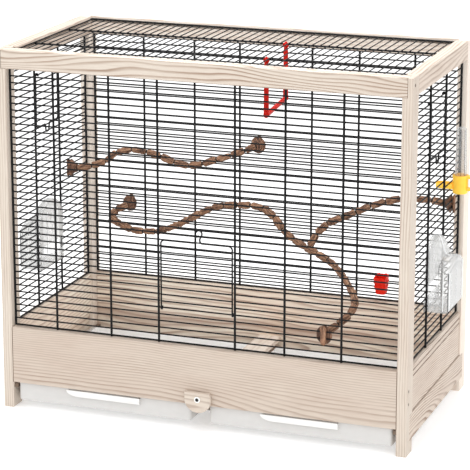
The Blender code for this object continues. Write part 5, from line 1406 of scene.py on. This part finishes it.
def drinker_tube():
    """A clear tapered tube with a domed top, a collar, measuring rings and thin ribs drawn dark as painted
    shade lines.
    """
    outside = list(TUBE_FOOT)
    for number in range(1, 11):
        share = number / 10
        outside.append((TUBE_RADIUS - TUBE_TAPER * share, TAPER_FOOT + TAPER_SPAN * share))
    outside += [(radius, TUBE_HEIGHT + up) for radius, up in TUBE_TOP]
    inside = [(max(radius - TUBE_WALL, 0), max(up - TUBE_WALL, 0)) for radius, up in reversed(outside)]
    shape = bmesh.new()
    foot = Vector((DRINKER_X, DRINKER_Y, TUBE_BASE))
    put_lathe(shape, outside + inside[1:], 40, Matrix.Translation(foot))
    for height in TUBE_MARKS:
        radius = TUBE_RADIUS - TUBE_TAPER * (height - TAPER_FOOT) / MARK_SPAN
        mark = [foot + Vector((x, y, height)) for x, y in circle(radius, 32)]
        put_tube(shape, mark, MARK_TUBE, 6, True)
    # The ribs take the dark edge plastic: painted shade lines on the clear tube
    for turn in TUBE_RIBS:
        x, y = math.cos(math.radians(turn)), math.sin(math.radians(turn))
        rib = [foot + Vector((x * reach, y * reach, z)) for reach, z in RIB_ENDS]
        put_tube(shape, rib, RIB_TUBE, 8, False, 1)
    dress("clear_drinker_tube", shape, [CLEAR, EDGE_SHADE], "drinker_tube", ["drinker_tube"])


# Floor, lights and camera, whose place was solved from the corners of the frame in the photograph

FLOOR_REACH = 9.0
CAMERA_PLACE = (1.41742, -3.88183, 1.47212)
CAMERA_YAW, CAMERA_PITCH = math.radians(20.0983), math.radians(14.2299)
CAMERA_LENS, CAMERA_SHIFT = 169.624, -0.10
CAGE_MIDDLE = (0, 0, 0.35)

# Each light's place, what it points at, its size and its power
LIGHTS = {
    "key": ((-1.6, -3.0, 3.0), CAGE_MIDDLE, 2.2, 12),
    "fill": ((2.6, -2.4, 1.4), CAGE_MIDDLE, 2.4, 4),
    "overhead": ((0, -0.02, 1.7), (0, 0, 0), 0.9, 14),
}
SKY_STRENGTH = 1.06


def stage():
    shape = bmesh.new()
    corners = ((-1, -1), (1, -1), (1, 1), (-1, 1))
    shape.faces.new([shape.verts.new((x * FLOOR_REACH, y * FLOOR_REACH, 0)) for x, y in corners])
    mesh = bpy.data.meshes.new("floor")
    shape.to_mesh(mesh)
    shape.free()
    finish = Finish("pale_floor", Roughness=0.9, Emission_Color=(1, 1, 1, 1), Emission_Strength=0.30)
    finish.colour(finish.mix(finish.noise(finish.place(), 3.0), (0.93, 0.93, 0.93), (0.96, 0.96, 0.96)))
    mesh.materials.append(finish.material)
    add_object("floor", mesh)


def area_light(name, place, target, size, power):
    data = bpy.data.lights.new(name, "AREA")
    data.energy, data.size = power, size
    light = add_object(name, data)
    light.matrix_world = upright(place, Vector(place) - Vector(target))
    light.visible_camera = False


def studio():
    world = bpy.data.worlds.new("studio")
    bpy.context.scene.world = world
    world.use_nodes = True
    background = world.node_tree.nodes["Background"]
    background.inputs["Color"].default_value = (1.0, 1.0, 1.0, 1.0)
    background.inputs["Strength"].default_value = SKY_STRENGTH
    for name, values in LIGHTS.items():
        area_light(name, *values)
    bpy.context.scene.view_settings.view_transform = "Standard"


def camera():
    data = bpy.data.cameras.new("camera")
    data.sensor_width = 36
    data.lens = CAMERA_LENS
    data.shift_y = CAMERA_SHIFT
    data.clip_end = 60
    made = add_object("camera", data)
    made.location = CAMERA_PLACE
    made.rotation_euler = (math.pi / 2 - CAMERA_PITCH, 0, CAMERA_YAW)
    bpy.context.scene.camera = made


camera()
studio()
stage()
woodwork()
wall_grilles()
roof_grille()
wire_doors()
for corner, side in SIDES.items():
    tray("tray_" + corner, side)
    feeder_shell("feeder_" + corner, side)
    feeder_trim("feeder_" + corner, side)
turn_button()
frame_screws()
perches()
swing()
treat_clip()
drinker_base()
drinker_tube()
